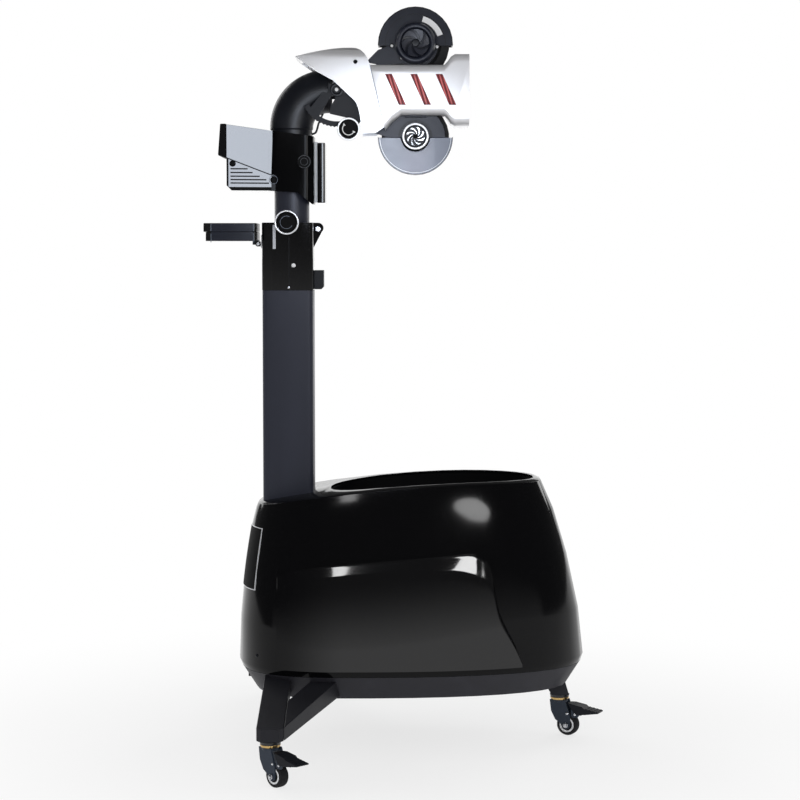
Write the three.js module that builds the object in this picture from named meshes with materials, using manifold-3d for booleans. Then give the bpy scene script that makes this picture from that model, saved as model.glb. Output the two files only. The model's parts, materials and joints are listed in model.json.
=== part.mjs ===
// Floor-standing table tennis robot: a ball hopper on casters, a square column, a telescoping neck
// with a control box, and a swinging and tilting head that throws the ball between two wheels.
// Millimetres. +X is the throwing direction, +Y the far side, +Z up.
import * as THREE from "three";
import { mergeVertices } from "three/addons/utils/BufferGeometryUtils.js";
import Module from "manifold-3d";

const wasm = await Module();
wasm.setup();

// Clearances shared by all pieces
const gap = 0.3;
const runningGap = 0.8;
const cutOver = 6;
const nearlyFlat = 0.6;
const bite = 1;

// The ball and the way it takes
const ballRadius = 20;
const liftClearance = 0.8;
const liftWall = 2.2;
const liftRadius = ballRadius + liftClearance + liftWall;
const neckWall = 4;
const neckRadius = liftRadius + nearlyFlat + neckWall;
const neckOffset = 5.5;

// Body outline, from the seam above the skirt to the top edge
const seamHeight = 125;
const bodyLeft = -79;
const bodyRight = 470;
const bodyHalfDepth = 174;
const bodyWidestX = 90;
const topLeftInset = 27;
const topRightInset = 66;
const topDepthInset = 52;
const bodyHeightLeft = 255;
const topRise = 38;
const topPeakX = 330;
const shellWall = 3.4;
const seamInset = 4;
const seamChamfer = 10;
const topRound = 9;
const leftBulge = 2.1;
const rightBulge = 1.7;
const depthBulge = 1.7;
const bottomSquareness = 2.4;
const topSquareness = 2.9;
const leftSquareness = 2.7;
const outlineSteps = 40;
const bowlSteps = 28;

// Skirt pan under the body
const skirtDrop = 37;
const skirtInset = 27;
const inletHalf = 21;
const inletHeight = 17;
const inletLength = 23;
const inletProud = 2;
const panWall = 3;

// Hopper bowl
const lipWidth = 14;
const bowlLeft = 66;
const bowlWidestShare = 0.45;
const bowlLeftSquareness = 2.6;
const bowlRightSquareness = 2.3;
const bowlWall = 2.6;
const bowlFloorRise = 107;
const bowlFloorHeight = seamHeight + bowlFloorRise;
const bowlFloorLeft = 74;
const bowlFloorRight = 312;
const bowlFloorHalfDepth = 84;
const bowlFlange = 4.2;
const feedRadius = 72;
const feedPocketCircle = 45;
const feedThickness = 9;
const feedPockets = 5;
const feedWellDepth = 24;
const feedShaftRadius = 4;
const feedMotorRadius = 20;
const feedMotorLength = 62;
const liftBend = 52.5;
const liftBendRise = 65;
const liftBendHeight = seamHeight + liftBendRise;
const throatX = neckOffset + 2 * liftBend;
const feedX = throatX + feedPocketCircle;

// Column, collar and tray
const columnHalf = 40;
const columnRound = 9;
const columnWall = 3;
const columnTop = 715;
const footHalf = 46;
const footThickness = 6;
const collarHeight = 106;
const collarHalf = 40.4;
const collarRound = 8;
const lugHeight = 28;
const lugReach = 14;
const lugWidth = 22;
const pinRadius = 5;
const sideBlockReach = 15.5;
const sideBlockHeight = 30;
const sideBlockWidth = 34;
const knobRadius = 19;
const knobThickness = 17;
const knobShaftRadius = 5;
const trayLength = 84;
const trayHalfWidth = 46;
const trayThickness = 14;
const trayStep = 3.5;
const trayPinRadius = 2.5;

// Neck and control box
const neckPlunge = 155;
const neckBottom = columnTop - neckPlunge;
const liftOverlap = 140;
const liftTop = neckBottom + liftOverlap;
const neckShown = 50;
const boxBottom = columnTop + collarHeight + neckShown;
const pathRise = 157;
const pathHeight = boxBottom + pathRise;
const neckTopDrop = 98;
const neckTop = pathHeight - neckTopDrop;
const boxLeft = -93.5;
const boxWrapLeft = -30.5;
const boxRight = 41.6;
const boxWrapHalf = 41;
const boxEndHalf = 56;
const boxEndPlate = 13;
const boxWall = 2.6;
const boxTopDropLeft = 54.5;
const boxTopDropRight = 72;
const boxTopLeft = pathHeight - boxTopDropLeft;
const boxTopRight = pathHeight - boxTopDropRight;
const seamHeightLeft = 51;
const seamHeightRight = 27;
const boxSeamLeft = boxBottom + seamHeightLeft;
const boxSeamRight = boxBottom + seamHeightRight;
const boxTail = 21;
const dialRadius = 11;
const dialRise = 45;
const dialHeight = boxBottom + dialRise;
const dialX = 27;
const stripThickness = 5;
const stripHalfWidth = 19;
const stripDrop = 18;
const stripTopDrop = 80;
const stripBottom = boxBottom - stripDrop;
const stripTop = pathHeight - stripTopDrop;
const plateThickness = 12;
const plateHalfWidth = 33;
const panelLap = 1;

// Elbow and tilt bracket
const elbowRadius = 34;
const elbowLegRadius = 32.5;
const elbowBend = 57;
const elbowSocketDepth = 44;
const elbowLip = 2;
const tiltX = 78;
const bracketThickness = 4;
const sectorRadius = 58;
const sectorBand = 9;
const toothDepth = 1.6;
const toothCount = 14;
const tiltPinRadius = 5;
const tiltKnobRadius = 17.6;
const tiltKnobThickness = 14;
const pinionRadius = 6.2;
const knobAngle = -73;
const sectorFromAngle = 207;
const sectorToAngle = 290;
const cableRadius = 2.2;

// Head
const wheelX = 201;
const wheelRadius = 53.5;
const wheelHalfWidth = 10;
const ballGrip = 1.2;
const upperWheelZ = pathHeight + ballRadius - ballGrip + wheelRadius;
const lowerWheelZ = pathHeight - ballRadius + ballGrip - wheelRadius;
const barrelWall = 3;
const barrelClearance = 3.5;
const barrelRadius = ballRadius + barrelClearance + barrelWall;
const barrelSetback = 7;
const shellHalfDepth = 47;
const shellHalfHeight = 39;
const shellRear = 130;
const shellFront = 285;
const shellTuck = 30;
const openingSetback = 14;
const tailLap = 10;
const headWall = 2.6;
const muzzleDepth = 39;
const muzzleHalfHeight = 55.5;
const headDrop = 62;
const headBottom = pathHeight - headDrop;
const hoodTip = 13;
const hoodRise = 27;
const hoodWall = 2.4;
const guardRadius = 59;
const guardWall = 2;
const guardHalfWidth = 17;
const motorRadius = 32;
const motorLength = 26;
const shaftRadius = 3;
const hubRadius = 20.6;
const slotWidth = 11;
const slotPitch = 39.3;
const slotLean = 21.7;
const slotHalfHeight = 24;
const slotShift = 8;
const slotCentre = wheelX + slotShift;

// Legs and casters
const legTipY = 352;
const legWidth = 40;
const legTipHeight = 66;
const legTipThickness = 20;
const legRootHeight = 95;
const legRootThickness = 28.5;
const legX = -12;
const braceRootX = 92;
const braceWidth = 38;
const casterInset = 16;
const casterY = legTipY - casterInset;
const casterX = -12;
const noseCasterX = 434;
const casterTrail = 15;
const casterWheelRadius = 17.5;
const casterWheelHalfWidth = 8;
const casterPlateRadius = 16;
const casterPlateThickness = 4.5;
const casterRingThickness = 3.5;
const casterForkGauge = 2.6;
const casterAxleRadius = 3.2;
const pedalReach = 70;
const pedalWidth = 26;
const pedalGauge = 3.2;
const nearCasterTurn = -45;
const noseCasterTurn = -25;

const rad = THREE.MathUtils.degToRad;
const clamp01 = (t) => Math.min(Math.max(t, 0), 1);
const mix = (a, b, t) => a + (b - a) * t;
const smooth = (t) => clamp01(t) ** 2 * (3 - 2 * clamp01(t));

// Solids: closed geometries that are joined and cut
function solid(geometry) {
  const bare = geometry.index ? geometry.toNonIndexed() : geometry.clone();
  bare.deleteAttribute("normal");
  bare.deleteAttribute("uv");
  const merged = mergeVertices(bare, 1e-4);
  return new wasm.Manifold(
    new wasm.Mesh({
      numProp: 3,
      vertProperties: merged.attributes.position.array,
      triVerts: new Uint32Array(merged.index.array),
    }),
  );
}

function geometryOf(made) {
  const mesh = made.getMesh();
  const geometry = new THREE.BufferGeometry();
  geometry.setAttribute("position", new THREE.BufferAttribute(mesh.vertProperties, 3));
  geometry.setIndex(new THREE.BufferAttribute(mesh.triVerts, 1));
  const flat = geometry.toNonIndexed();
  flat.computeVertexNormals();
  return flat;
}

const join = (first, ...rest) => rest.reduce((whole, piece) => whole.add(piece), first);
const cut = (first, ...rest) => rest.reduce((whole, piece) => whole.subtract(piece), first);

function moved(geometry, x, y, z) {
  return solid(geometry.translate(x, y, z));
}

// A block between two corners
function block(x0, x1, y0, y1, z0, z1) {
  const size = new THREE.BoxGeometry(x1 - x0, y1 - y0, z1 - z0);
  return moved(size, (x0 + x1) / 2, (y0 + y1) / 2, (z0 + z1) / 2);
}

// Round bars along each axis; radii are at the low and the high end
function barZ(r0, r1, x, y, z0, z1, sides = 20) {
  const bar = new THREE.CylinderGeometry(r1, r0, z1 - z0, sides).rotateX(Math.PI / 2);
  return moved(bar, x, y, (z0 + z1) / 2);
}

function barY(r0, r1, x, z, y0, y1, sides = 20) {
  const bar = new THREE.CylinderGeometry(r1, r0, y1 - y0, sides);
  return moved(bar, x, (y0 + y1) / 2, z);
}

function barX(r0, r1, y, z, x0, x1, sides = 20) {
  const bar = new THREE.CylinderGeometry(r1, r0, x1 - x0, sides).rotateZ(-Math.PI / 2);
  return moved(bar, (x0 + x1) / 2, y, z);
}

// Outlines pushed along an axis
function extruded(outline, depth, steps = 2) {
  const options = { depth, bevelEnabled: false, curveSegments: steps };
  return new THREE.ExtrudeGeometry(outline, options);
}

function outlineOf(points) {
  return new THREE.Shape(points.map(([x, y]) => new THREE.Vector2(x, y)));
}

// An outline in X and Y pushed up from z0 to z1
function prismZ(outline, z0, z1, steps) {
  return moved(extruded(outline, z1 - z0, steps), 0, 0, z0);
}

// An outline in X and Z pushed from y0 to y1
function prismY(outline, y0, y1, steps) {
  return moved(extruded(outline, y1 - y0, steps).rotateX(Math.PI / 2), 0, y1, 0);
}

// An outline in Y and Z pushed from x0 to x1
function prismX(outline, x0, x1, steps) {
  const turned = extruded(outline, x1 - x0, steps).rotateX(Math.PI / 2).rotateZ(Math.PI / 2);
  return moved(turned, x0, 0, 0);
}

function roundedOutline(x0, x1, y0, y1, r) {
  const shape = new THREE.Shape();
  shape.moveTo(x0 + r, y0);
  shape.lineTo(x1 - r, y0);
  shape.absarc(x1 - r, y0 + r, r, -Math.PI / 2, 0, false);
  shape.lineTo(x1, y1 - r);
  shape.absarc(x1 - r, y1 - r, r, 0, Math.PI / 2, false);
  shape.lineTo(x0 + r, y1);
  shape.absarc(x0 + r, y1 - r, r, Math.PI / 2, Math.PI, false);
  shape.lineTo(x0, y0 + r);
  shape.absarc(x0 + r, y0 + r, r, Math.PI, Math.PI * 1.5, false);
  return shape;
}

// A round profile of radius and height pairs turned about the Z axis
function turned(profile, sides = 32) {
  const points = profile.map(([r, z]) => new THREE.Vector2(r, z));
  return new THREE.LatheGeometry(points, sides).rotateX(Math.PI / 2);
}

// Points of an arc in X and Z between two angles in degrees
function arcRoute(x, z, r, from, to, steps) {
  return Array.from({ length: steps + 1 }, (_, i) => {
    const turn = rad(mix(from, to, i / steps));
    return [x + r * Math.cos(turn), z + r * Math.sin(turn)];
  });
}

// A round bar that follows a route of X and Z pairs
function pipe(route, radius, sides, y = 0) {
  const points = route.map(([x, z]) => new THREE.Vector3(x, y, z));
  return loft(points.map((point, i) => {
    const before = points[Math.max(i - 1, 0)];
    const after = points[Math.min(i + 1, points.length - 1)];
    const along = after.clone().sub(before).normalize();
    const across = new THREE.Vector3(-along.z, 0, along.x);
    return Array.from({ length: sides }, (_, k) => {
      const turn = (2 * Math.PI * k) / sides;
      return point.clone().addScaledVector(across, radius * Math.cos(turn))
        .add(new THREE.Vector3(0, radius * Math.sin(turn), 0));
    });
  }));
}

// A stack of rings with the same even number of points, closed across at both ends
function loft(rings) {
  const count = rings[0].length;
  const corners = rings.flat();
  const faces = [];
  for (let k = 0; k + 1 < rings.length; k += 1) {
    for (let i = 0; i < count; i += 1) {
      const a = k * count + i;
      const b = k * count + ((i + 1) % count);
      faces.push(a, b, b + count, a, b + count, a + count);
    }
  }
  const top = (rings.length - 1) * count;
  for (let i = 0; i + 1 < count / 2; i += 1) {
    const j = count - 1 - i;
    faces.push(i + 1, i, j, i + 1, j, j - 1);
    faces.push(top + i, top + i + 1, top + j, top + j, top + i + 1, top + j - 1);
  }
  const geometry = new THREE.BufferGeometry();
  const positions = corners.flatMap((p) => [p.x, p.y, p.z]);
  geometry.setAttribute("position", new THREE.Float32BufferAttribute(positions, 3));
  geometry.setIndex(faces);
  const made = solid(geometry);
  if (made.volume() > 0) return made;
  geometry.setIndex(faces.reverse());
  return solid(geometry);
}

// Finishes
const finishes = {
  glossBlack: { color: 0x0a0a0c, roughness: 0.12, metalness: 0 },
  satinBlack: { color: 0x15161a, roughness: 0.4, metalness: 0 },
  matteBlack: { color: 0x1a1b1f, roughness: 0.6, metalness: 0 },
  slate: { color: 0x33363f, roughness: 0.5, metalness: 0.2 },
  frame: { color: 0x2b2c33, roughness: 0.5, metalness: 0.2 },
  silver: { color: 0xc9cacd, roughness: 0.3, metalness: 0.6 },
  shell: { color: 0xe9e9ec, roughness: 0.28, metalness: 0.4 },
  red: { color: 0xb5302c, roughness: 0.4, metalness: 0 },
  frosted: { color: 0x8b90a8, roughness: 0.35, metalness: 0 },
  rubber: { color: 0x101012, roughness: 0.85, metalness: 0 },
  steel: { color: 0xb9bcc2, roughness: 0.3, metalness: 0.9 },
  gold: { color: 0xc9a26b, roughness: 0.35, metalness: 0.8 },
  navy: { color: 0x232838, roughness: 0.35, metalness: 0.1 },
  pale: { color: 0xe6eaf2, roughness: 0.3, metalness: 0 },
  orange: { color: 0xd9662b, roughness: 0.4, metalness: 0 },
};

const robot = new THREE.Group();

function add(name, made, finish, parent = robot) {
  const material = new THREE.MeshStandardMaterial(finishes[finish]);
  const mesh = new THREE.Mesh(geometryOf(made), material);
  mesh.name = name;
  parent.add(mesh);
  return made;
}

// Body surface: how far it has closed in at a share of its height
const topHeight = (x) => {
  const share = (x - topPeakX) / (topPeakX - bodyLeft - topLeftInset);
  return seamHeight + bodyHeightLeft + topRise * (1 - share * share);
};
const bodyLeftAt = (v) => bodyLeft + topLeftInset * clamp01(v) ** leftBulge;
const bodyRightAt = (v) => bodyRight - topRightInset * clamp01(v) ** rightBulge;
const bodyDepthAt = (v) => bodyHalfDepth - topDepthInset * clamp01(v) ** depthBulge;
const squarenessAt = (v, x) =>
  x < bodyWidestX ? leftSquareness : mix(bottomSquareness, topSquareness, clamp01(v));

// One ring of the body, drawn in by an inset and lying at a share of the height, less a drop
function bodyRing(v, inset, drop) {
  const ring = [];
  for (let i = 0; i < outlineSteps; i += 1) {
    const turn = (2 * Math.PI * (i + 0.5)) / outlineSteps;
    const c = Math.cos(turn);
    const s = Math.sin(turn);
    const edge = c < 0 ? bodyLeftAt(v) + inset : bodyRightAt(v) - inset;
    const n = squarenessAt(v, c < 0 ? bodyLeft : bodyRight);
    const x = bodyWidestX + Math.abs(edge - bodyWidestX) * Math.sign(c) * Math.abs(c) ** (2 / n);
    const y = (bodyDepthAt(v) - inset) * Math.sign(s) * Math.abs(s) ** (2 / n);
    const z = mix(seamHeight, topHeight(x), v) - drop;
    ring.push(new THREE.Vector3(x, y, z));
  }
  return ring;
}

// Half-depth of the body surface at a place
function bodySurface(x, z, proud) {
  const v = (z - seamHeight) / (topHeight(x) - seamHeight);
  const edge = x < bodyWidestX ? bodyLeftAt(v) : bodyRightAt(v);
  const n = squarenessAt(v, x);
  const share = clamp01(Math.abs((x - bodyWidestX) / (edge - bodyWidestX)));
  return bodyDepthAt(v) * (1 - share ** n) ** (1 / n) + proud;
}

// An even outline in plan with a left and a right end, as the bowl has
function bowlRing(left, right, halfDepth, heightAt) {
  const ring = [];
  for (let i = 0; i < bowlSteps; i += 1) {
    const turn = (2 * Math.PI * (i + 0.5)) / bowlSteps;
    const c = Math.cos(turn);
    const s = Math.sin(turn);
    const widest = mix(left, right, bowlWidestShare);
    const n = c < 0 ? bowlLeftSquareness : bowlRightSquareness;
    const reach = c < 0 ? widest - left : right - widest;
    const x = widest + reach * Math.sign(c) * Math.abs(c) ** (2 / n);
    const y = halfDepth * Math.sign(s) * Math.abs(s) ** (2 / n);
    ring.push(new THREE.Vector3(x, y, heightAt(x)));
  }
  return ring;
}

// Hopper body: a deep cover with a deck, cut for the bowl and the column
const chamferShare = seamChamfer / bodyHeightLeft;
const roundShares = [0, 0.5, 1];
const wallShares = [0.3, 0.6, 0.84];

function bodyRings(inset, drop, rounded) {
  const rings = [
    bodyRing(0, seamInset + inset, drop),
    bodyRing(chamferShare, inset, drop),
    ...wallShares.map((v) => bodyRing(v, inset, drop)),
  ];
  if (!rounded) return [...rings, bodyRing(1, inset, drop)];
  for (const share of roundShares) {
    const around = (share * Math.PI) / 2;
    rings.push(bodyRing(1, inset + topRound * (1 - Math.cos(around)),
      drop + topRound * (1 - Math.sin(around))));
  }
  return rings;
}

const bowlRight = bodyRightAt(1) - lipWidth;
const bowlHalfDepth = bodyDepthAt(1) - lipWidth * 1.25;
const deckUnder = (x) => topHeight(x) - shellWall;
const bowlCut = (grow) => loft([
  bowlRing(bowlLeft - grow, bowlRight + grow, bowlHalfDepth + grow,
    () => seamHeight + bodyHeightLeft / 2),
  bowlRing(bowlLeft - grow, bowlRight + grow, bowlHalfDepth + grow,
    () => seamHeight + bodyHeightLeft * 2),
]);

function makeShell() {
  const outer = loft(bodyRings(0, 0, true));
  const rings = bodyRings(shellWall, 0, false).slice(0, -1);
  rings.unshift(bodyRing(0, seamInset + shellWall, cutOver));
  const innerRound = topRound - shellWall;
  for (const share of roundShares) {
    const around = (share * Math.PI) / 2;
    rings.push(bodyRing(1, topRound - innerRound * Math.cos(around),
      topRound - innerRound * Math.sin(around)));
  }
  const inner = loft(rings);
  const columnHole = prismZ(
    roundedOutline(-columnHalf - gap, columnHalf + gap, -columnHalf - gap, columnHalf + gap,
      columnRound),
    seamHeight, seamHeight + bodyHeightLeft * 2);
  add("hopper_shell", cut(outer, inner, bowlCut(0), columnHole), "glossBlack");
}

// Bowl that hangs under the deck, with a round well for the feed disc in its floor
function makeLiner() {
  const under = (drop) => (x) => deckUnder(x) - 2.5 * gap - drop;
  const floorRing = (grow, z) => bowlRing(bowlFloorLeft - grow, bowlFloorRight + grow,
    bowlFloorHalfDepth + grow, () => z);
  const middleRing = (grow) => bowlRing(mix(bowlFloorLeft, bowlLeft, 0.75) - grow,
    mix(bowlFloorRight, bowlRight, 0.75) + grow,
    mix(bowlFloorHalfDepth, bowlHalfDepth, 0.75) + grow,
    (x) => mix(bowlFloorHeight, deckUnder(x), 0.5));
  const rim = (grow, drop) => bowlRing(bowlLeft - grow, bowlRight + grow, bowlHalfDepth + grow,
    under(drop));
  const outer = loft([
    floorRing(bowlWall, bowlFloorHeight - bowlWall),
    middleRing(bowlWall),
    rim(bowlWall, 2 * bowlWall),
    rim(bowlFlange, bowlWall),
    rim(bowlFlange, 0),
  ]);
  const inner = loft([
    floorRing(0, bowlFloorHeight),
    middleRing(0),
    rim(0, bowlWall),
    rim(0, -cutOver),
  ]);
  const wellBottom = bowlFloorHeight - feedWellDepth;
  const wellRadius = feedRadius + 2 * runningGap;
  const well = barZ(wellRadius + bowlWall, wellRadius + bowlWall, feedX, 0,
    wellBottom - bowlWall, bowlFloorHeight - bowlWall / 2, 32);
  const wellSpace = barZ(wellRadius, wellRadius, feedX, 0, wellBottom,
    bowlFloorHeight + cutOver, 32);
  const throat = barZ(liftRadius + gap, liftRadius + gap, throatX, 0,
    wellBottom - 3 * bowlWall, bowlFloorHeight + cutOver);
  const shaftHole = barZ(feedShaftRadius + runningGap, feedShaftRadius + runningGap, feedX, 0,
    wellBottom - 3 * bowlWall, bowlFloorHeight);
  add("hopper_bowl", cut(join(cut(outer, inner), well), wellSpace, throat, shaftHole),
    "satinBlack");
  return wellBottom;
}

function makeFeed(wellBottom) {
  const low = wellBottom + 2 * runningGap;
  const high = low + feedThickness;
  const cone = barZ(feedShaftRadius * 5, feedShaftRadius * 2, feedX, 0, high - gap,
    high + feedThickness * 1.4);
  let disc = join(barZ(feedRadius, feedRadius * 0.97, feedX, 0, low, high, 30), cone);
  for (let i = 0; i < feedPockets; i += 1) {
    const turn = Math.PI + (2 * Math.PI * i) / feedPockets;
    const pocket = ballRadius + 2 * runningGap;
    disc = cut(disc, barZ(pocket, pocket, feedX + feedPocketCircle * Math.cos(turn),
      feedPocketCircle * Math.sin(turn), low - cutOver, high + cutOver, 14));
  }
  add("feed_disc", disc, "orange");
  const top = wellBottom - bowlWall - gap;
  add("feed_motor", join(
    barZ(feedMotorRadius, feedMotorRadius, feedX, 0, top - feedMotorLength / 2, top),
    barZ(feedMotorRadius * 0.7, feedMotorRadius * 0.7, feedX, 0, top - feedMotorLength, top),
    barZ(feedShaftRadius, feedShaftRadius, feedX, 0, top - gap, low - gap),
  ), "steel");
}

// Ball duct: down from the throat, round under the bowl and up inside the column and neck
function makeDuct(wellBottom) {
  const bend = () => arcRoute(throatX - liftBend, liftBendHeight, liftBend, 0, -180, 7);
  const throatTop = wellBottom - gap;
  const route = (over) => [
    [throatX, throatTop + over], ...bend(), [neckOffset, liftTop + over],
  ];
  add("ball_duct", cut(pipe(route(0), liftRadius, 14),
    pipe(route(cutOver), ballRadius + liftClearance, 12)), "matteBlack");
}

// Raised panel on each side, thin along its upper edge and full below a sloping band
const panelTopShares = [
  [0, 0.608], [0.132, 0.651], [0.272, 0.673], [0.433, 0.693], [0.581, 0.71], [0.728, 0.725],
  [0.794, 0.729], [0.824, 0.694], [0.85, 0.576], [0.907, 0.376], [0.971, 0.176], [1, 0.067],
];
const panelBandShares = [
  0.03, 0.07, 0.071, 0.072, 0.083, 0.098, 0.13, 0.115, 0.05, 0.025, 0.02, 0.01,
];
const panelLeftShare = 0.12;
const panelRightShare = 0.81;
const panelProud = 5;
const panelEdge = 0.5;
const panelStandOff = 0.7;

function makePanel(name, side) {
  const columns = 22;
  const outerRows = 5;
  const left = mix(bodyLeft, bodyRight, panelLeftShare);
  const right = mix(bodyLeft, bodyRight, panelRightShare);
  const topCurve = new THREE.CatmullRomCurve3(panelTopShares.map(([u, v]) =>
    new THREE.Vector3(mix(left, right, u), 0, mix(seamHeight, seamHeight + bodyHeightLeft, v))));
  const bandCurve = new THREE.SplineCurve(panelBandShares.map((share, i) =>
    new THREE.Vector2(i, share * bodyHeightLeft)));
  const sheets = [];
  const low = seamHeight + seamChamfer + gap;
  for (let i = 0; i <= columns; i += 1) {
    const along = i / columns;
    const top = topCurve.getPoint(along);
    const band = bandCurve.getPoint(along).y;
    const high = Math.max(top.z, low + band + bite);
    const fade = smooth(along / 0.12);
    const row = [];
    for (let k = 0; k <= outerRows; k += 1) {
      const z = k < 4 ? high - (band * k) / 3 : mix(high - band, low, (k - 3) / (outerRows - 3));
      const full = panelEdge + (panelProud - panelEdge) * smooth((high - z) / band) * fade;
      row.push(new THREE.Vector3(top.x, bodySurface(top.x, z, panelStandOff + full), z));
    }
    for (let k = outerRows; k >= 0; k -= 1) {
      const z = row[k].z;
      row.push(new THREE.Vector3(top.x, bodySurface(top.x, z, panelStandOff), z));
    }
    if (side < 0) row.reverse();
    sheets.push(row.map((p) => new THREE.Vector3(p.x, p.y * side, p.z)));
  }
  add(name, loft(sheets), "glossBlack");
}

// Skirt pan that closes the body from below
function makePan() {
  const dropped = (inset, z) => bodyRing(0, inset, 0).map((p) => new THREE.Vector3(p.x, p.y, z));
  const top = seamHeight - gap;
  const bottom = seamHeight - skirtDrop;
  const outer = loft([dropped(skirtInset, bottom), dropped(seamInset, top)]);
  const inner = loft([
    dropped(skirtInset + panWall, bottom + panWall),
    dropped(seamInset + panWall, top + cutOver / 2),
  ]);
  const slot = inletBlock(bottom, gap);
  add("skirt_pan", cut(outer, inner, slot), "frame");
  return bottom;
}

// Mains inlet let into the slope of the skirt at the operator's end
function inletBlock(bottom, grow) {
  const left = bodyLeft + (skirtInset + seamInset) / 2 - inletProud;
  const low = bottom + (skirtDrop - inletHeight) / 2;
  return block(left - grow, left + inletLength + grow, -inletHalf - grow, inletHalf + grow,
    low - grow, low + inletHeight + grow);
}

function makeInlet(bottom) {
  const body = inletBlock(bottom, 0);
  const left = bodyLeft + (skirtInset + seamInset) / 2 - inletProud;
  const low = bottom + (skirtDrop - inletHeight) / 2;
  const mouth = inletHalf * 0.62;
  const rim = inletHeight * 0.16;
  add("power_inlet", cut(body, block(left - cutOver, left + inletLength * 0.6,
    -inletHalf + 2 * rim, mouth - rim, low + rim, low + inletHeight - rim)), "satinBlack");
}

// Legs: a beam and a brace on each side, butting against the skirt
function legKeepOut(bottom) {
  const ring = (inset, z) => bodyRing(0, inset, 0).map((p) => new THREE.Vector3(p.x, p.y, z));
  return loft([
    ring(skirtInset - gap, bottom - gap),
    ring(seamInset - gap, seamHeight - gap),
    ring(seamInset - gap, seamHeight + cutOver),
  ]);
}

function makeLegs(bottom) {
  const keepOut = legKeepOut(bottom);
  const rootY = bodyHalfDepth - 1.6 * skirtInset;
  for (const [name, side] of [["near", -1], ["far", 1]]) {
    const profile = outlineOf([
      [rootY * side, legRootHeight], [legTipY * side, legTipHeight],
      [legTipY * side, legTipHeight + legTipThickness],
      [rootY * side, legRootHeight + legRootThickness],
    ]);
    const slope = prismX(profile, bodyLeft, bodyRight);
    const left = legX - legWidth / 2;
    const right = legX + legWidth / 2;
    const chamfer = legWidth * 0.18;
    const beam = prismZ(outlineOf([
      [left, rootY * side], [left, (legTipY - chamfer) * side], [left + chamfer, legTipY * side],
      [right - chamfer, legTipY * side], [right, (legTipY - chamfer) * side],
      [right, rootY * side],
    ]), 0, seamHeight);
    const tipY = legTipY - chamfer;
    const alongBrace = new THREE.Vector2(braceRootX - right, rootY - tipY).normalize();
    const inner = braceWidth / Math.abs(alongBrace.y);
    const brace = prismZ(outlineOf([
      [right + gap, tipY * side], [braceRootX, rootY * side], [braceRootX - inner, rootY * side],
      [right + gap, (tipY + (inner * (tipY - rootY)) / (right - braceRootX)) * side],
    ]), 0, seamHeight);
    add(name + "_leg_beam", cut(beam.intersect(slope), keepOut), "frame");
    add(name + "_leg_brace", cut(brace.intersect(slope), keepOut), "frame");
  }
}

function makeNosePost(bottom) {
  const half = casterPlateRadius;
  const taper = half * 0.6;
  const profile = outlineOf([
    [noseCasterX - half - taper, bottom - gap],
    [noseCasterX - half * 0.88, legTipHeight],
    [noseCasterX + half * 0.88, legTipHeight],
    [noseCasterX + taper * 0.8, bottom - gap],
  ]);
  add("nose_post", prismY(profile, -half, half), "frame");
}

// A caster: plate with its race, fork with its axle, wheel and brake pedal
function makeCaster(name, x, y, turn) {
  const caster = new THREE.Group();
  caster.position.set(x, y, 0);
  caster.rotation.z = rad(turn);
  robot.add(caster);
  const top = legTipHeight - gap;
  const race = top - casterPlateThickness;
  const raceBottom = race - casterRingThickness;
  add(name + "_plate", join(
    barZ(casterPlateRadius * 0.92, casterPlateRadius, 0, 0, race - gap, top, 18),
    barZ(casterPlateRadius * 0.9, casterPlateRadius * 0.97, 0, 0, raceBottom, race, 18),
  ), "gold", caster);

  const forkTop = raceBottom - gap;
  const capBottom = forkTop - casterForkGauge * 1.6;
  const inside = casterWheelHalfWidth + runningGap;
  const outside = inside + casterForkGauge;
  const cheek = new THREE.Shape();
  const eye = casterAxleRadius * 2.1;
  cheek.moveTo(-casterPlateRadius * 0.8, forkTop);
  cheek.quadraticCurveTo(-casterPlateRadius * 0.8, casterWheelRadius * 1.5,
    casterTrail - eye, casterWheelRadius);
  cheek.absarc(casterTrail, casterWheelRadius, eye, Math.PI, 2 * Math.PI, false);
  cheek.lineTo(casterTrail + eye, casterWheelRadius * 1.9);
  cheek.lineTo(casterPlateRadius * 0.8, forkTop);
  const axleReach = outside + casterAxleRadius;
  add(name + "_fork", join(
    barZ(casterPlateRadius * 0.8, casterPlateRadius * 0.86, 0, 0, capBottom, forkTop, 16),
    prismY(cheek, inside, outside, 3),
    prismY(cheek, -outside, -inside, 3),
    barY(casterAxleRadius, casterAxleRadius, casterTrail, casterWheelRadius, -axleReach,
      axleReach, 10),
  ), "navy", caster);

  const w = casterWheelHalfWidth;
  const r = casterWheelRadius;
  const bore = casterAxleRadius + gap;
  const tread = turned([
    [bore, -w * 0.8], [r * 0.62, -w * 0.8], [r * 0.7, -w], [r * 0.9, -w], [r, -w * 0.6],
    [r, w * 0.6], [r * 0.9, w], [r * 0.7, w], [r * 0.62, w * 0.8], [bore, w * 0.8],
    [bore, -w * 0.8],
  ], 16).rotateX(Math.PI / 2);
  add(name + "_wheel", moved(tread, casterTrail, 0, r), "rubber", caster);

  const pedalLow = 2 * r + 2.5 * runningGap;
  const pedalStart = casterTrail * 0.45;
  const pedalNeck = pedalReach * 0.44;
  const pedalOutline = (x0, x1) => {
    const at = (px) => pedalLow + (px / pedalReach) * r * 0.34;
    return outlineOf([[x0, at(x0)], [x1, at(x1)], [x1, at(x1) + pedalGauge],
      [x0, at(x0) + pedalGauge]]);
  };
  add(name + "_pedal", join(
    prismY(pedalOutline(pedalStart, pedalNeck + bite), -inside + runningGap, inside - runningGap),
    prismY(pedalOutline(pedalNeck, pedalReach), -pedalWidth / 2, pedalWidth / 2),
  ), "matteBlack", caster);
}

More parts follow.
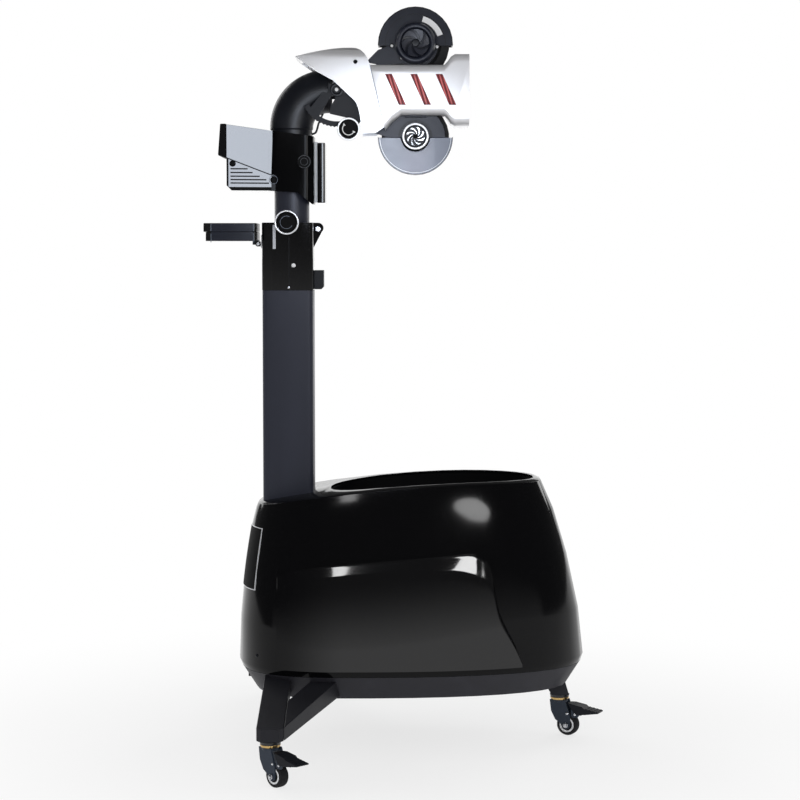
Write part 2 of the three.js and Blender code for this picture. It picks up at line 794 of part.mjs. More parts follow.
// Column: a square tube on a foot plate, open at the bottom side for the ball duct
function makeColumn(bottom) {
  const floor = bottom + panWall + gap;
  const half = columnHalf;
  const inside = half - columnWall;
  const outer = prismZ(roundedOutline(-half, half, -half, half, columnRound), floor, columnTop);
  const foot = prismZ(roundedOutline(-footHalf, footHalf, -footHalf, footHalf, columnRound),
    floor, floor + footThickness);
  const bore = prismZ(
    roundedOutline(-inside, inside, -inside, inside, columnRound - columnWall),
    floor - cutOver, columnTop + cutOver);
  const window = block(0, half + cutOver, -liftRadius - cutOver / 2, liftRadius + cutOver / 2,
    liftBendHeight - liftBend - liftRadius - cutOver, liftBendHeight + liftRadius + cutOver);
  add("column", cut(join(outer, foot), bore, window), "slate");
}

// Collar: it plugs into the column, guides the neck and carries the knob, the lug and the tray
const collarBottom = columnTop + gap;
const collarTop = collarBottom + collarHeight;
const lugPinX = collarHalf + lugReach / 2;
const lugPinZ = collarTop - pinRadius * 2;
const neckBore = neckRadius + runningGap;

function makeCollar() {
  const half = collarHalf;
  const plug = columnHalf - columnWall - gap;
  const body = prismZ(roundedOutline(-half, half, -half, half, collarRound), collarBottom,
    collarTop);
  const spigot = prismZ(roundedOutline(-plug, plug, -plug, plug, columnRound - columnWall),
    collarBottom - collarHeight * 0.25, collarBottom + cutOver);
  const boss = barY(knobShaftRadius * 2.8, knobShaftRadius * 2.8, 0, collarTop,
    -half - cutOver, -neckBore - bite, 28);
  const lug = new THREE.Shape();
  const tip = lugReach * 0.6;
  lug.moveTo(half - cutOver, collarTop);
  lug.lineTo(lugPinX, collarTop);
  lug.absarc(lugPinX, collarTop - tip, tip, Math.PI / 2, -Math.PI / 4, true);
  lug.lineTo(half, collarTop - lugHeight * 1.4);
  lug.lineTo(half - cutOver, collarTop - lugHeight * 1.8);
  const ear = prismY(lug, -lugWidth / 2, lugWidth / 2, 4);
  const bore = barZ(neckBore, neckBore, neckOffset, 0, collarBottom - collarHeight,
    collarTop + knobRadius, 24);
  const pinHole = barY(pinRadius * 0.6 + gap, pinRadius * 0.6 + gap, lugPinX, lugPinZ,
    -lugWidth, lugWidth, 16);
  const knobHole = barY(knobShaftRadius + gap, knobShaftRadius + gap, 0, collarTop,
    -half - 2 * cutOver, 0, 20);
  add("collar", cut(join(body, spigot, boss, ear), bore, pinHole, knobHole), "glossBlack");
  add("lug_pin", join(
    barY(pinRadius * 0.6, pinRadius * 0.6, lugPinX, lugPinZ, -lugWidth / 2 - gap,
      lugWidth / 2 + 2 * gap, 16),
    barY(pinRadius * 0.8, pinRadius, lugPinX, lugPinZ, -lugWidth / 2 - pinRadius * 0.6,
      -lugWidth / 2 - gap, 16),
  ), "steel");
  const blockLow = collarBottom + bite;
  const slant = sideBlockReach * 0.25;
  add("side_block", prismY(outlineOf([
    [half + gap, blockLow], [half + sideBlockReach - slant, blockLow],
    [half + sideBlockReach, blockLow + slant], [half + sideBlockReach, blockLow + sideBlockHeight],
    [half + gap, blockLow + sideBlockHeight],
  ]), -sideBlockWidth / 2, sideBlockWidth / 2), "matteBlack");
  const face = -half - cutOver - gap;
  add("lock_knob", join(
    barY(knobRadius, knobRadius * 0.94, 0, collarTop, face - knobThickness * 0.75, face, 28),
    barY(knobRadius * 0.7, knobRadius * 0.8, 0, collarTop, face - knobThickness,
      face - knobThickness * 0.7, 24),
    barY(knobShaftRadius, knobShaftRadius, 0, collarTop, face - gap,
      -neckRadius - 2 * gap, 20),
  ), "satinBlack");
}

// Side tray that folds down on the operator's side
const trayEye = trayPinRadius * 1.7;
const hingePlate = 1.8;
const trayPinX = -collarHalf - hingePlate - 3 * gap - trayEye;
const trayPinZ = collarTop - 2 * trayThickness - trayEye - 4 * gap;

function makeTray() {
  const eye = trayEye;
  const left = trayPinX - trayLength;
  const right = trayPinX - bite;
  const low = trayPinZ + eye + gap;
  const y = trayHalfWidth;
  const knuckle = (y0, y1) => barY(eye, eye, trayPinX, trayPinZ, y0, y1, 12);
  const arm = y * 0.3;
  const backing = trayPinZ - eye * 1.6;
  add("tray_bracket", join(
    block(-collarHalf - gap - hingePlate, -collarHalf - gap, -arm * 1.6, arm * 1.6, backing,
      trayPinZ + trayThickness),
    knuckle(arm * 0.4, arm), knuckle(-arm, -arm * 0.4),
    block(trayPinX, -collarHalf - 2 * gap, arm * 0.4, arm, trayPinZ - eye, trayPinZ + eye * 0.3),
    block(trayPinX, -collarHalf - 2 * gap, -arm, -arm * 0.4, trayPinZ - eye,
      trayPinZ + eye * 0.3),
    barY(trayPinRadius, trayPinRadius, trayPinX, trayPinZ, -arm * 1.5, arm * 1.5, 10),
  ), "steel");
  const hole = barY(trayPinRadius + gap, trayPinRadius + gap, trayPinX, trayPinZ, -arm * 2,
    arm * 2, 10);
  const shoulder = (y0, y1) => join(
    knuckle(y0, y1),
    block(trayPinX - eye * 2, trayPinX, y0, y1, trayPinZ - eye * 0.3, low + 2 * bite),
  );
  add("tray_lower", cut(join(
    prismZ(roundedOutline(left + trayStep, right, -y, y, trayStep), low, low + trayThickness),
    shoulder(-arm * 0.4 + gap, arm * 0.4 - gap),
    shoulder(arm + gap, arm * 1.5), shoulder(-arm * 1.5, -arm - gap),
  ), hole), "navy");
  add("tray_upper", prismZ(roundedOutline(left, right, -y, y, trayStep),
    low + trayThickness + gap, low + 2 * trayThickness), "navy");
}

// Neck: the tube that slides in the collar, and the control box round its upper end
const boxTopAt = (x) => mix(boxTopLeft, boxTopRight, (x - boxLeft) / (boxRight - boxLeft));
const boxSeamAt = (x) => mix(boxSeamLeft, boxSeamRight, (x - boxLeft) / (boxWrapLeft - boxLeft));
const elbowBottom = neckTop - elbowSocketDepth * 0.7;

function makeNeck() {
  const inner = liftRadius + nearlyFlat;
  add("neck_tube", cut(
    barZ(neckRadius, neckRadius, neckOffset, 0, neckBottom, neckTop, 24),
    barZ(inner, inner, neckOffset, 0, neckBottom - cutOver, neckTop + cutOver, 16),
  ), "slate");
}

// Plan of the console part of the box, narrower by an inset
function consolePlan(inset, right) {
  return outlineOf([
    [boxLeft + inset, -boxEndHalf + inset], [right, -boxWrapHalf + inset],
    [right, boxWrapHalf - inset], [boxLeft + inset, boxEndHalf - inset],
  ]);
}

function louvres() {
  const count = 5;
  const pitch = (boxSeamRight - boxBottom) * 0.62 / count;
  const start = boxLeft + boxWall * 2.4;
  const lastEnd = boxWrapLeft - boxWall;
  return Array.from({ length: count }, (_, i) => {
    const z = boxBottom + boxWall * 3.2 + i * pitch * 1.35;
    const end = lastEnd - (lastEnd - start) * 0.13 * Math.max(i - 1, 0);
    return block(start, end, -boxEndHalf - cutOver, boxEndHalf + cutOver, z, z + pitch * 0.5);
  });
}

function makeControlBox() {
  const low = boxBottom - boxTail - cutOver;
  const high = boxTopLeft + cutOver;
  const wrap = prismZ(
    roundedOutline(boxWrapLeft, boxRight, -boxWrapHalf, boxWrapHalf, boxWrapHalf * 0.36),
    low, high, 5);
  const wrapSide = prismY(outlineOf([
    [boxWrapLeft, boxBottom], [neckOffset + neckRadius * 0.4, boxBottom - boxWall],
    [boxRight - boxWall, boxBottom - boxTail], [boxRight, boxBottom - boxTail],
    [boxRight, boxTopAt(boxRight)], [boxWrapLeft, boxTopAt(boxWrapLeft)],
  ]), -boxEndHalf - cutOver, boxEndHalf + cutOver);
  const chamfer = boxWall * 3;
  const lowerSide = (inset) => prismY(outlineOf([
    [boxLeft + inset, boxBottom + chamfer], [boxLeft + chamfer, boxBottom + inset],
    [boxWrapLeft + boxWrapHalf * 0.3 * (inset ? 0 : 1), boxBottom + inset],
    [boxWrapLeft + boxWrapHalf * 0.3 * (inset ? 0 : 1), boxSeamRight - boxWall],
    [boxWrapLeft, boxSeamRight + (inset ? cutOver : 0)],
    [boxLeft + inset, boxSeamLeft + (inset ? cutOver : 0)],
  ]), -boxEndHalf - cutOver, boxEndHalf + cutOver);
  const plan = (inset, right) => prismZ(consolePlan(inset, right), low, high);
  const lower = plan(0, boxWrapLeft + boxWrapHalf * 0.3).intersect(lowerSide(0));
  const hollow = plan(boxWall, boxWrapLeft - boxWall).intersect(lowerSide(boxWall));
  const legBore = elbowLegRadius + runningGap;
  const tubeBore = neckRadius + runningGap;
  const dialHole = barY(dialRadius * 0.3 + gap, dialRadius * 0.3 + gap, dialX, dialHeight,
    -boxEndHalf, -legBore * 0.6, 12);
  add("control_housing", cut(join(wrap.intersect(wrapSide), lower), hollow,
    barZ(legBore, legBore, neckOffset, 0, elbowBottom - runningGap, high, 24),
    barZ(tubeBore, tubeBore, neckOffset, 0, low, high, 20),
    dialHole, ...louvres()), "glossBlack");

  const coverSide = (inset) => prismY(outlineOf([
    [boxLeft + inset, boxSeamLeft + gap - (inset ? cutOver : 0)],
    [boxWrapLeft - gap - inset, boxSeamRight + gap - (inset ? cutOver : 0)],
    [boxWrapLeft - gap - inset, boxTopAt(boxWrapLeft) - inset],
    [boxLeft + inset, boxTopAt(boxLeft) - inset],
  ]), -boxEndHalf - cutOver, boxEndHalf + cutOver);
  const coverPlan = (inset) => plan(inset, boxWrapLeft - gap - inset);
  add("control_cover", cut(coverPlan(0).intersect(coverSide(0)),
    coverPlan(boxWall).intersect(coverSide(boxWall))), "glossBlack");

  const plateFace = boxLeft - gap;
  const lean = boxEndPlate * 0.28;
  const plateSide = prismY(outlineOf([
    [plateFace, boxSeamLeft - panelLap], [plateFace, boxTopAt(boxLeft) + panelLap],
    [plateFace - boxEndPlate + lean, boxTopAt(boxLeft) + panelLap],
    [plateFace - boxEndPlate, boxSeamLeft + lean],
  ]), -boxEndHalf - panelLap, boxEndHalf + panelLap);
  add("control_panel", plateSide, "satinBlack");

  const dialFace = -boxWrapHalf - gap;
  add("control_dial", join(
    barY(dialRadius, dialRadius * 0.94, dialX, dialHeight, dialFace - dialRadius * 0.5,
      dialFace, 28),
    barY(dialRadius * 0.3, dialRadius * 0.3, dialX, dialHeight, dialFace - gap,
      -legBore * 0.92, 12),
  ), "satinBlack");

  const stripFace = boxRight + gap;
  add("light_strip", block(stripFace, stripFace + stripThickness, -stripHalfWidth,
    stripHalfWidth, stripBottom, stripTop), "pale");
  const plateLeft = stripFace + stripThickness + gap;
  const round = plateThickness * 0.35;
  add("rear_plate", prismZ(
    roundedOutline(plateLeft, plateLeft + plateThickness, -plateHalfWidth, plateHalfWidth, round),
    stripBottom - panelLap, stripTop - 2 * panelLap, 4), "glossBlack");
}

// Elbow that turns in the box on the neck, with the tilt bracket on its mouth
const bendX = neckOffset + elbowBend;
const bendZ = pathHeight - elbowBend;
const mouthX = bendX + elbowLip;
const bracketInside = elbowRadius + elbowLip;
const bracketOutside = bracketInside + bracketThickness;

function makeElbow() {
  const bend = arcRoute(bendX, bendZ, elbowBend, 180, 90, 7);
  const outer = join(
    pipe([[neckOffset, bendZ - 1.5 * elbowLip], ...bend, [mouthX, pathHeight]], elbowRadius, 20),
    barZ(elbowLegRadius, elbowLegRadius, neckOffset, 0, elbowBottom, bendZ, 24),
  );
  const bore = liftRadius + nearlyFlat;
  const way = pipe([[neckOffset, elbowBottom - cutOver], ...bend,
    [mouthX + cutOver, pathHeight]], bore, 14);
  const socket = barZ(neckRadius + runningGap, neckRadius + runningGap, neckOffset, 0,
    elbowBottom - cutOver, neckTop + gap, 20);
  add("elbow", cut(outer, way, socket), "satinBlack");
}

function toothedArc(inner, outer, from, to) {
  const shape = new THREE.Shape();
  const steps = toothCount * 2;
  for (let i = 0; i <= steps; i += 1) {
    const turn = rad(mix(from, to, i / steps));
    const r = outer - (i % 2 ? toothDepth : 0);
    const point = [tiltX + r * Math.cos(turn), pathHeight + r * Math.sin(turn)];
    if (i) shape.lineTo(...point);
    else shape.moveTo(...point);
  }
  for (const [x, z] of arcRoute(tiltX, pathHeight, inner, to, from, 10)) shape.lineTo(x, z);
  return shape;
}

function makeTiltBracket() {
  const face = mouthX + gap;
  const thick = bracketThickness;
  const boss = tiltPinRadius * 1.9;
  const ring = barX(elbowRadius, elbowRadius, 0, pathHeight, face, face + thick, 22);
  const bar = block(face, face + thick, -bracketOutside, bracketOutside, pathHeight - boss,
    pathHeight + boss);
  const bore = barX(liftRadius, liftRadius, 0, pathHeight, face - cutOver,
    face + thick + cutOver, 16);
  const ear = (y0, y1) => join(
    barY(boss, boss, tiltX, pathHeight, y0, y1, 16),
    block(face, tiltX, y0, y1, pathHeight - boss, pathHeight + boss),
  );
  const sector = prismY(toothedArc(sectorRadius - sectorBand, sectorRadius, sectorFromAngle,
    sectorToAngle),
    -bracketOutside, -bracketInside);
  const web = prismY(outlineOf([
    [tiltX - boss * 0.6, pathHeight - boss * 0.5], [face - boss, pathHeight - boss * 0.5],
    [tiltX + sectorRadius * 0.86 * Math.cos(rad(214)),
      pathHeight + sectorRadius * 0.86 * Math.sin(rad(214))],
    [tiltX + sectorRadius * 0.86 * Math.cos(rad(236)),
      pathHeight + sectorRadius * 0.86 * Math.sin(rad(236))],
  ]), -bracketOutside, -bracketInside);
  const hole = barY(tiltPinRadius + gap, tiltPinRadius + gap, tiltX, pathHeight,
    -bracketOutside - cutOver, -bracketInside + cutOver / 2, 20);
  const farStub = barY(tiltPinRadius, tiltPinRadius, tiltX, pathHeight,
    bracketInside - bracketThickness * 1.6, bracketOutside, 20);
  const made = cut(join(ring, bar, ear(-bracketOutside, -bracketInside),
    ear(bracketInside, bracketOutside), sector, web, farStub), bore, hole);
  add("tilt_bracket", made, "matteBlack");
  add("tilt_pin", join(
    barY(tiltPinRadius, tiltPinRadius, tiltX, pathHeight,
      -bracketOutside - gap, -bracketInside + bracketThickness * 1.6, 20),
    barY(tiltPinRadius * 1.1, tiltPinRadius * 1.3, tiltX, pathHeight,
      -bracketOutside - bracketThickness * 0.8, -bracketOutside - gap, 20),
  ), "steel");
}

// Cable from the tilt drive, down the inside of the bend to the rim of the box
function makeCable() {
  const start = [tiltX - sectorRadius * 0.42, pathHeight - sectorRadius * 0.86];
  const curve = new THREE.SplineCurve([
    start,
    [start[0] - sectorRadius * 0.12, start[1] - sectorRadius * 0.08],
    [neckOffset + elbowLegRadius + cableRadius * 4.5, bendZ - cableRadius],
    [neckOffset + elbowLegRadius + cableRadius * 2, bendZ - cableRadius * 4],
    [neckOffset + elbowLegRadius + cableRadius + gap * 2, bendZ - cableRadius * 6],
  ].map(([x, z]) => new THREE.Vector2(x, z)));
  add("tilt_cable", pipe(curve.getPoints(12).map((p) => [p.x, p.y]), cableRadius, 8),
    "matteBlack");
}

// Head frame: the barrel that the ball is thrown through, with its cheeks, rails and lug
const barrelRear = tiltX + barrelSetback;
const barrelFront = shellFront - muzzleDepth - gap;
const cheekOutside = bracketInside - runningGap;
const cheekInside = cheekOutside - bracketThickness;

function makeHeadFrame() {
  const bore = barrelRadius - barrelWall;
  const tube = barX(barrelRadius, barrelRadius, 0, pathHeight, barrelRear, barrelFront, 24);
  const cheekEnd = shellRear + barrelRadius * 0.6;
  const cheekBoss = tiltPinRadius * 1.8;
  const cheek = (y0, y1) => join(
    barY(cheekBoss, cheekBoss, tiltX, pathHeight, y0, y1, 16),
    block(tiltX, cheekEnd, y0, y1, pathHeight - cheekBoss, pathHeight + cheekBoss),
  );
  const yoke = block(cheekEnd - bracketThickness, cheekEnd, -cheekOutside, cheekOutside,
    pathHeight - cheekBoss, pathHeight + cheekBoss);
  const reach = sectorRadius + pinionRadius + nearlyFlat;
  const knobX = tiltX + reach * Math.cos(rad(knobAngle));
  const knobZ = pathHeight + reach * Math.sin(rad(knobAngle));
  const lugY = bracketInside - runningGap;
  const knobLug = join(
    barY(pinionRadius, pinionRadius, knobX, knobZ, -lugY, -cheekInside, 20),
    prismY(outlineOf([
      [knobX - pinionRadius, knobZ], [knobX + pinionRadius, knobZ - pinionRadius * 0.4],
      [cheekEnd, pathHeight - cheekBoss], [cheekEnd - barrelRadius, pathHeight - cheekBoss * 0.5],
    ]), -lugY, -cheekInside),
  );
  const knobHole = barY(knobShaftRadius * 0.6 + gap, knobShaftRadius * 0.6 + gap, knobX, knobZ,
    -lugY - cutOver, 0, 16);
  const rail = barrelWall * 1.6;
  const railOutside = shellHalfDepth - 1.6 * headWall - 2 * gap;
  const rails = [-1, 1].map((side) => block(cheekEnd - cutOver, barrelFront,
    side > 0 ? barrelRadius - barrelWall / 2 : -railOutside,
    side > 0 ? railOutside : barrelWall / 2 - barrelRadius,
    pathHeight - rail, pathHeight + rail));
  const slot = (z0, z1) => block(wheelX - wheelRadius * 0.72, wheelX + wheelRadius * 0.72,
    -wheelHalfWidth - 2 * runningGap, wheelHalfWidth + 2 * runningGap, z0, z1);
  const pinHole = barY(tiltPinRadius + gap, tiltPinRadius + gap, tiltX, pathHeight,
    -bracketOutside, bracketOutside, 20);
  add("head_frame", cut(
    join(tube, cheek(-cheekOutside, -cheekInside), cheek(cheekInside, cheekOutside), yoke,
      knobLug, ...rails),
    barX(bore, bore, 0, pathHeight, barrelRear - cutOver, barrelFront + cutOver, 20),
    slot(pathHeight, pathHeight + 2 * barrelRadius),
    slot(pathHeight - 2 * barrelRadius, pathHeight), pinHole, knobHole,
  ), "matteBlack");
  return [knobX, knobZ];
}

function makeTiltKnob([x, z]) {
  const face = -shellHalfDepth - runningGap;
  add("tilt_knob", join(
    barY(tiltKnobRadius, tiltKnobRadius * 0.94, x, z, face - tiltKnobThickness, face, 28),
    barY(pinionRadius, pinionRadius, x, z, face - gap, -bracketInside + gap * 2, 20),
    barY(knobShaftRadius * 0.6, knobShaftRadius * 0.6, x, z, -bracketInside - gap,
      -cheekInside - gap, 16),
  ), "satinBlack");
}

// Sections across the head: rounded boxes about the ball's way
const shellTop = pathHeight + shellHalfHeight;
const shellLow = pathHeight - shellHalfHeight;
const shellRound = shellHalfHeight * 0.3;
const seamLean = 0.234;
const seamX = (z) => shellRear + (shellTop - z) * seamLean;

function headSection(x, half, low, high, steps = 2) {
  const points = roundedOutline(-half, half, low, high, shellRound).getPoints(steps);
  points.pop();
  return points.map((p) => new THREE.Vector3(x, p.x, p.y));
}

// Two shells, left and right of the wheels, that open into a flared mouth in front
function makeHeadShells() {
  const half = shellHalfDepth;
  const flareStart = shellFront - muzzleDepth;
  const extra = muzzleHalfHeight - shellHalfHeight;
  const tailDrop = (shellLow - headBottom) * 1.1;
  const body = (inset, over) => loft([
    [shellRear - shellTuck, 0], [flareStart, 0], [flareStart + extra * 0.3, 0.3],
    [flareStart + extra * 0.62, 0.75], [flareStart + extra, 1], [shellFront + over, 1],
  ].map(([x, share]) => headSection(x, half - inset, shellLow - extra * share + inset,
    shellTop + extra * share - inset)));
  const tail = (inset, over) => loft([
    [seamX(headBottom) - tailLap - over, 1.3], [seamX(headBottom) - bite, 1],
    [seamX(headBottom) + tailDrop * 0.4, 0.45], [seamX(headBottom) + tailDrop, 0],
    [seamX(headBottom) + tailDrop + over * 2 + bite, 0],
  ].map(([x, share]) => headSection(x, half - inset, shellLow - tailDrop * share + inset,
    shellLow + 2.6 * shellRound + over)));
  const rearCut = prismY(outlineOf([
    [0, headBottom - muzzleHalfHeight], [seamX(headBottom - muzzleHalfHeight),
      headBottom - muzzleHalfHeight],
    [seamX(shellTop + muzzleHalfHeight), shellTop + muzzleHalfHeight],
    [0, shellTop + muzzleHalfHeight],
  ]), -half - cutOver, half + cutOver);
  const opening = block(shellRear + openingSetback, flareStart - gap, -guardHalfWidth - 3 * guardWall,
    guardHalfWidth + 3 * guardWall, shellLow - 2 * tailDrop, shellTop + cutOver);
  const slots = [-1, 0, 1].map((i) => slotPrism(i, -half - cutOver, half + cutOver, 0));
  const whole = cut(join(body(0, 0), tail(0, 0)), body(headWall, cutOver),
    tail(headWall, cutOver), rearCut, opening, ...slots);
  const side = (y0, y1) => block(0, 2 * shellFront, y0, y1, 0, 2 * shellTop);
  add("near_head_shell", whole.intersect(side(-2 * half, -gap / 2)), "shell");
  add("far_head_shell", whole.intersect(side(gap / 2, 2 * half)), "shell");
  const back = half - headWall - gap;
  const sheetBack = back - 0.6 * headWall;
  const reach = slotPitch + slotLean / 2 + slotWidth;
  for (const [name, turn] of [["near", -1], ["far", 1]]) {
    const between = (low, high) => (turn < 0 ? [-high, -low] : [low, high]);
    const bars = [-1, 0, 1].map((i) => slotPrism(i, ...between(back - gap, half - gap), gap));
    const sheet = block(slotCentre - reach, slotCentre + reach, ...between(sheetBack, back),
      pathHeight - slotHalfHeight * 0.8, pathHeight + slotHalfHeight * 0.8);
    add(name + "_slot_insert", join(sheet, ...bars), "red");
  }
}

function slotPrism(i, y0, y1, shrink) {
  const x = slotCentre + i * slotPitch;
  const lean = slotLean / 2;
  const half = slotWidth / 2 - shrink;
  const high = slotHalfHeight - shrink;
  return prismY(outlineOf([
    [x + lean - half, pathHeight - high], [x + lean + half, pathHeight - high],
    [x - lean + half, pathHeight + high], [x - lean - half, pathHeight + high],
  ]), y0, y1);
}

// Hood over the elbow: a beak at the rear, cut away below the tilt pivot
function makeHood() {
  const half = shellHalfDepth;
  const h = shellHalfHeight;
  const peak = shellTop + hoodRise;
  const tipZ = shellTop + hoodRise * 0.45;
  const seam = (z) => seamX(z) - gap;
  const flapTop = headBottom + h * 0.1;
  const side = new THREE.Shape();
  side.moveTo(hoodTip, tipZ);
  side.quadraticCurveTo(tiltX - h * 0.25, peak, shellRear - shellTuck, peak);
  side.quadraticCurveTo(seam(peak) - h * 0.05, peak, seam(shellTop), shellTop);
  side.lineTo(seam(flapTop), flapTop);
  side.lineTo(seam(headBottom) - h * 0.36, headBottom - h * 0.13);
  side.lineTo(seam(headBottom) - h * 0.92, headBottom - h * 0.15);
  side.quadraticCurveTo(tiltX + h * 0.92, shellLow + h * 0.36, tiltX + h * 0.72,
    pathHeight - h * 0.44);
  side.lineTo(tiltX - h * 0.15, pathHeight + h * 0.36);
  side.lineTo(tiltX - h * 0.85, pathHeight + h * 0.74);
  const shoulder = shellHalfHeight * 0.45;
  const tube = (inset, over) => prismX(roundedOutline(-half + inset, half - inset,
    headBottom - 3 * shoulder - over, peak - inset, shoulder), -shellFront, shellFront, 3);
  const body = prismY(side, -half - cutOver, half + cutOver, 5).intersect(tube(0, 0));
  const roof = outlineOf([
    [hoodTip + h * 0.18, pathHeight], [hoodTip + h * 0.18, tipZ - 2 * hoodWall],
    [tiltX - h * 0.41, peak - 3.6 * hoodWall], [shellRear - h * 0.82, peak - hoodWall],
    [seam(peak) - h * 0.46, peak - 1.5 * hoodWall], [shellRear + 2 * h, shellTop - 3 * headWall],
    [shellRear + 2 * h, headBottom - 2 * h], [hoodTip - h, headBottom - 2 * h],
    [hoodTip - h, pathHeight],
  ]);
  const inner = prismY(roof, -half - cutOver, half + cutOver).intersect(tube(hoodWall, cutOver));
  add("hood", cut(body, inner), "silver");
}

// A throwing wheel with its motor, fan cap, bracket and guard
function makeWheel(name, z) {
  const r = wheelRadius;
  const w = wheelHalfWidth;
  const bore = shaftRadius;
  const tyre = turned([
    [bore + gap, -w * 0.5], [r * 0.7, -w * 0.5], [r * 0.76, -w], [r * 0.97, -w],
    [r, -w * 0.8], [r, w * 0.8], [r * 0.97, w], [r * 0.76, w], [r * 0.7, w * 0.5],
    [bore + gap, w * 0.5], [bore + gap, -w * 0.5],
  ], 26).rotateX(Math.PI / 2);
  add(name, moved(tyre, wheelX, 0, z), "rubber");
}

function makeMotor(name, z, capRadius, face) {
  const back = face - motorLength;
  const vane = capRadius * 0.12;
  let cap = join(
    barY(capRadius, capRadius, wheelX, z, back, face - motorLength * 0.4, 24),
    barY(motorRadius * 0.86, motorRadius * 0.86, wheelX, z, face - motorLength * 0.42, face, 24),
    barY(shaftRadius, shaftRadius, wheelX, z, face - gap, wheelHalfWidth * 0.5, 16),
  );
  cap = cut(cap, barY(capRadius * 0.72, capRadius * 0.72, wheelX, z, back - cutOver,
    back + vane * 2, 24));
  add(name, cap, "satinBlack");
}

function makeUpperGuard() {
  const z = upperWheelZ;
  const w = guardHalfWidth;
  const half = (r, y0, y1, floor) => barY(r, r, wheelX, z, y0, y1, 32)
    .intersect(block(wheelX - r - cutOver, wheelX + r + cutOver, y0 - cutOver, y1 + cutOver,
      floor, z + r + cutOver));
  const inner = guardRadius - guardWall;
  add("upper_guard", cut(half(guardRadius, -w, w, z - guardWall), barY(inner, inner, wheelX, z,
    -w + guardWall, w - guardWall, 28), barY(motorRadius, motorRadius, wheelX, z, -w - cutOver,
    0, 24), barY(shaftRadius * 3, shaftRadius * 3, wheelX, z, 0, w + cutOver, 12)),
  "satinBlack");
  const m = motorRadius;
  const outside = -w - 2 * guardWall + gap;
  const rest = pathHeight + shellHalfHeight + gap;
  const armRear = shellRear + m * 0.3;
  const arm = prismY(outlineOf([
    [shellRear - m * 0.22, z - m * 0.88], [shellRear + m * 0.38, z - m * 0.28],
    [wheelX - m * 0.6, z + m * 0.19], [wheelX - m * 0.6, z - m * 0.94],
    [shellRear + m * 0.62, z - m * 1.03],
  ]), outside, -w - gap);
  const foot = block(armRear, armRear + m * 0.8, -w - m / 2, -w - gap, rest, rest + guardWall);
  const disc = barY(m * 1.12, m * 1.12, wheelX, z, outside, -w - gap, 28);
  const floor = block(0, 2 * shellFront, -2 * m, 2 * m, rest, 2 * z);
  add("upper_bracket", cut(join(arm, disc, foot), barY(shaftRadius * 3, shaftRadius * 3, wheelX,
    z, -2 * w - cutOver, 0, 12)).intersect(floor), "matteBlack");
}

function makeLowerGuard() {
  const z = lowerWheelZ;
  const w = guardHalfWidth;
  const r = guardRadius;
  const below = block(wheelX - r - cutOver, wheelX + r + cutOver, -w - cutOver, w + cutOver,
    z - r - cutOver, z - bite);
  const inner = r - guardWall;
  add("lower_guard", cut(barY(r, r, wheelX, z, -w, w, 32).intersect(below),
    barY(inner, inner, wheelX, z, -w + guardWall, w - guardWall, 28),
    barY(hubRadius * 1.1, hubRadius * 1.1, wheelX, z, -w - cutOver, 0, 32),
    barY(shaftRadius * 3, shaftRadius * 3, wheelX, z, 0, w + cutOver, 12)), "frosted");
  const rest = pathHeight - shellHalfHeight - gap;
  const plate = join(
    barY(r * 0.8, r * 0.8, wheelX, z, -w, guardWall - w, 28),
    prismY(outlineOf([
      [shellRear + r * 0.07, z + r * 0.12], [shellRear + r * 0.44, z], [wheelX, z],
      [wheelX, z + r * 0.58], [shellRear + r * 0.41, z + r * 0.44],
    ]), -w, guardWall - w),
    block(wheelX - r * 0.3, wheelX + r * 0.3, -w * 1.9, guardWall - w, rest - guardWall, rest),
  );
  const above = block(0, 2 * shellFront, -2 * w, 2 * w, z - bite + gap, rest);
  add("lower_bracket", cut(plate.intersect(above), barY(shaftRadius * 3, shaftRadius * 3,
    wheelX, z, -2 * w, 0, 12)), "matteBlack");
}

makeShell();
const wellBottom = makeLiner();
makeFeed(wellBottom);
makeDuct(wellBottom);
makePanel("near_side_panel", -1);
makePanel("far_side_panel", 1);
const panBottom = makePan();
makeInlet(panBottom);
makeLegs(panBottom);
makeNosePost(panBottom);
makeCaster("near_caster", casterX, -casterY, nearCasterTurn);
makeCaster("far_caster", casterX, casterY, -nearCasterTurn);
makeCaster("nose_caster", noseCasterX, 0, noseCasterTurn);
makeColumn(panBottom);
makeCollar();
makeTray();
makeNeck();
makeControlBox();
makeElbow();
makeTiltBracket();
makeCable();
makeTiltKnob(makeHeadFrame());
makeHeadShells();
makeHood();
makeWheel("upper_wheel", upperWheelZ);
makeWheel("lower_wheel", lowerWheelZ);
makeMotor("upper_motor", upperWheelZ, motorRadius, -guardHalfWidth - 2 * guardWall);
makeMotor("lower_motor", lowerWheelZ, hubRadius, -guardHalfWidth - gap);
makeUpperGuard();
makeLowerGuard();

// The part's origin is on the floor under the middle of its box
const part = new THREE.Group();
part.add(robot);
const box = new THREE.Box3().setFromObject(part, true);
const middle = box.getCenter(new THREE.Vector3());
robot.position.set(-middle.x, -middle.y, -box.min.z);

export default part;
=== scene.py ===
import json
import math
from typing import NamedTuple

import bmesh
import bpy
from mathutils import Matrix, Vector
from mathutils.bvhtree import BVHTree

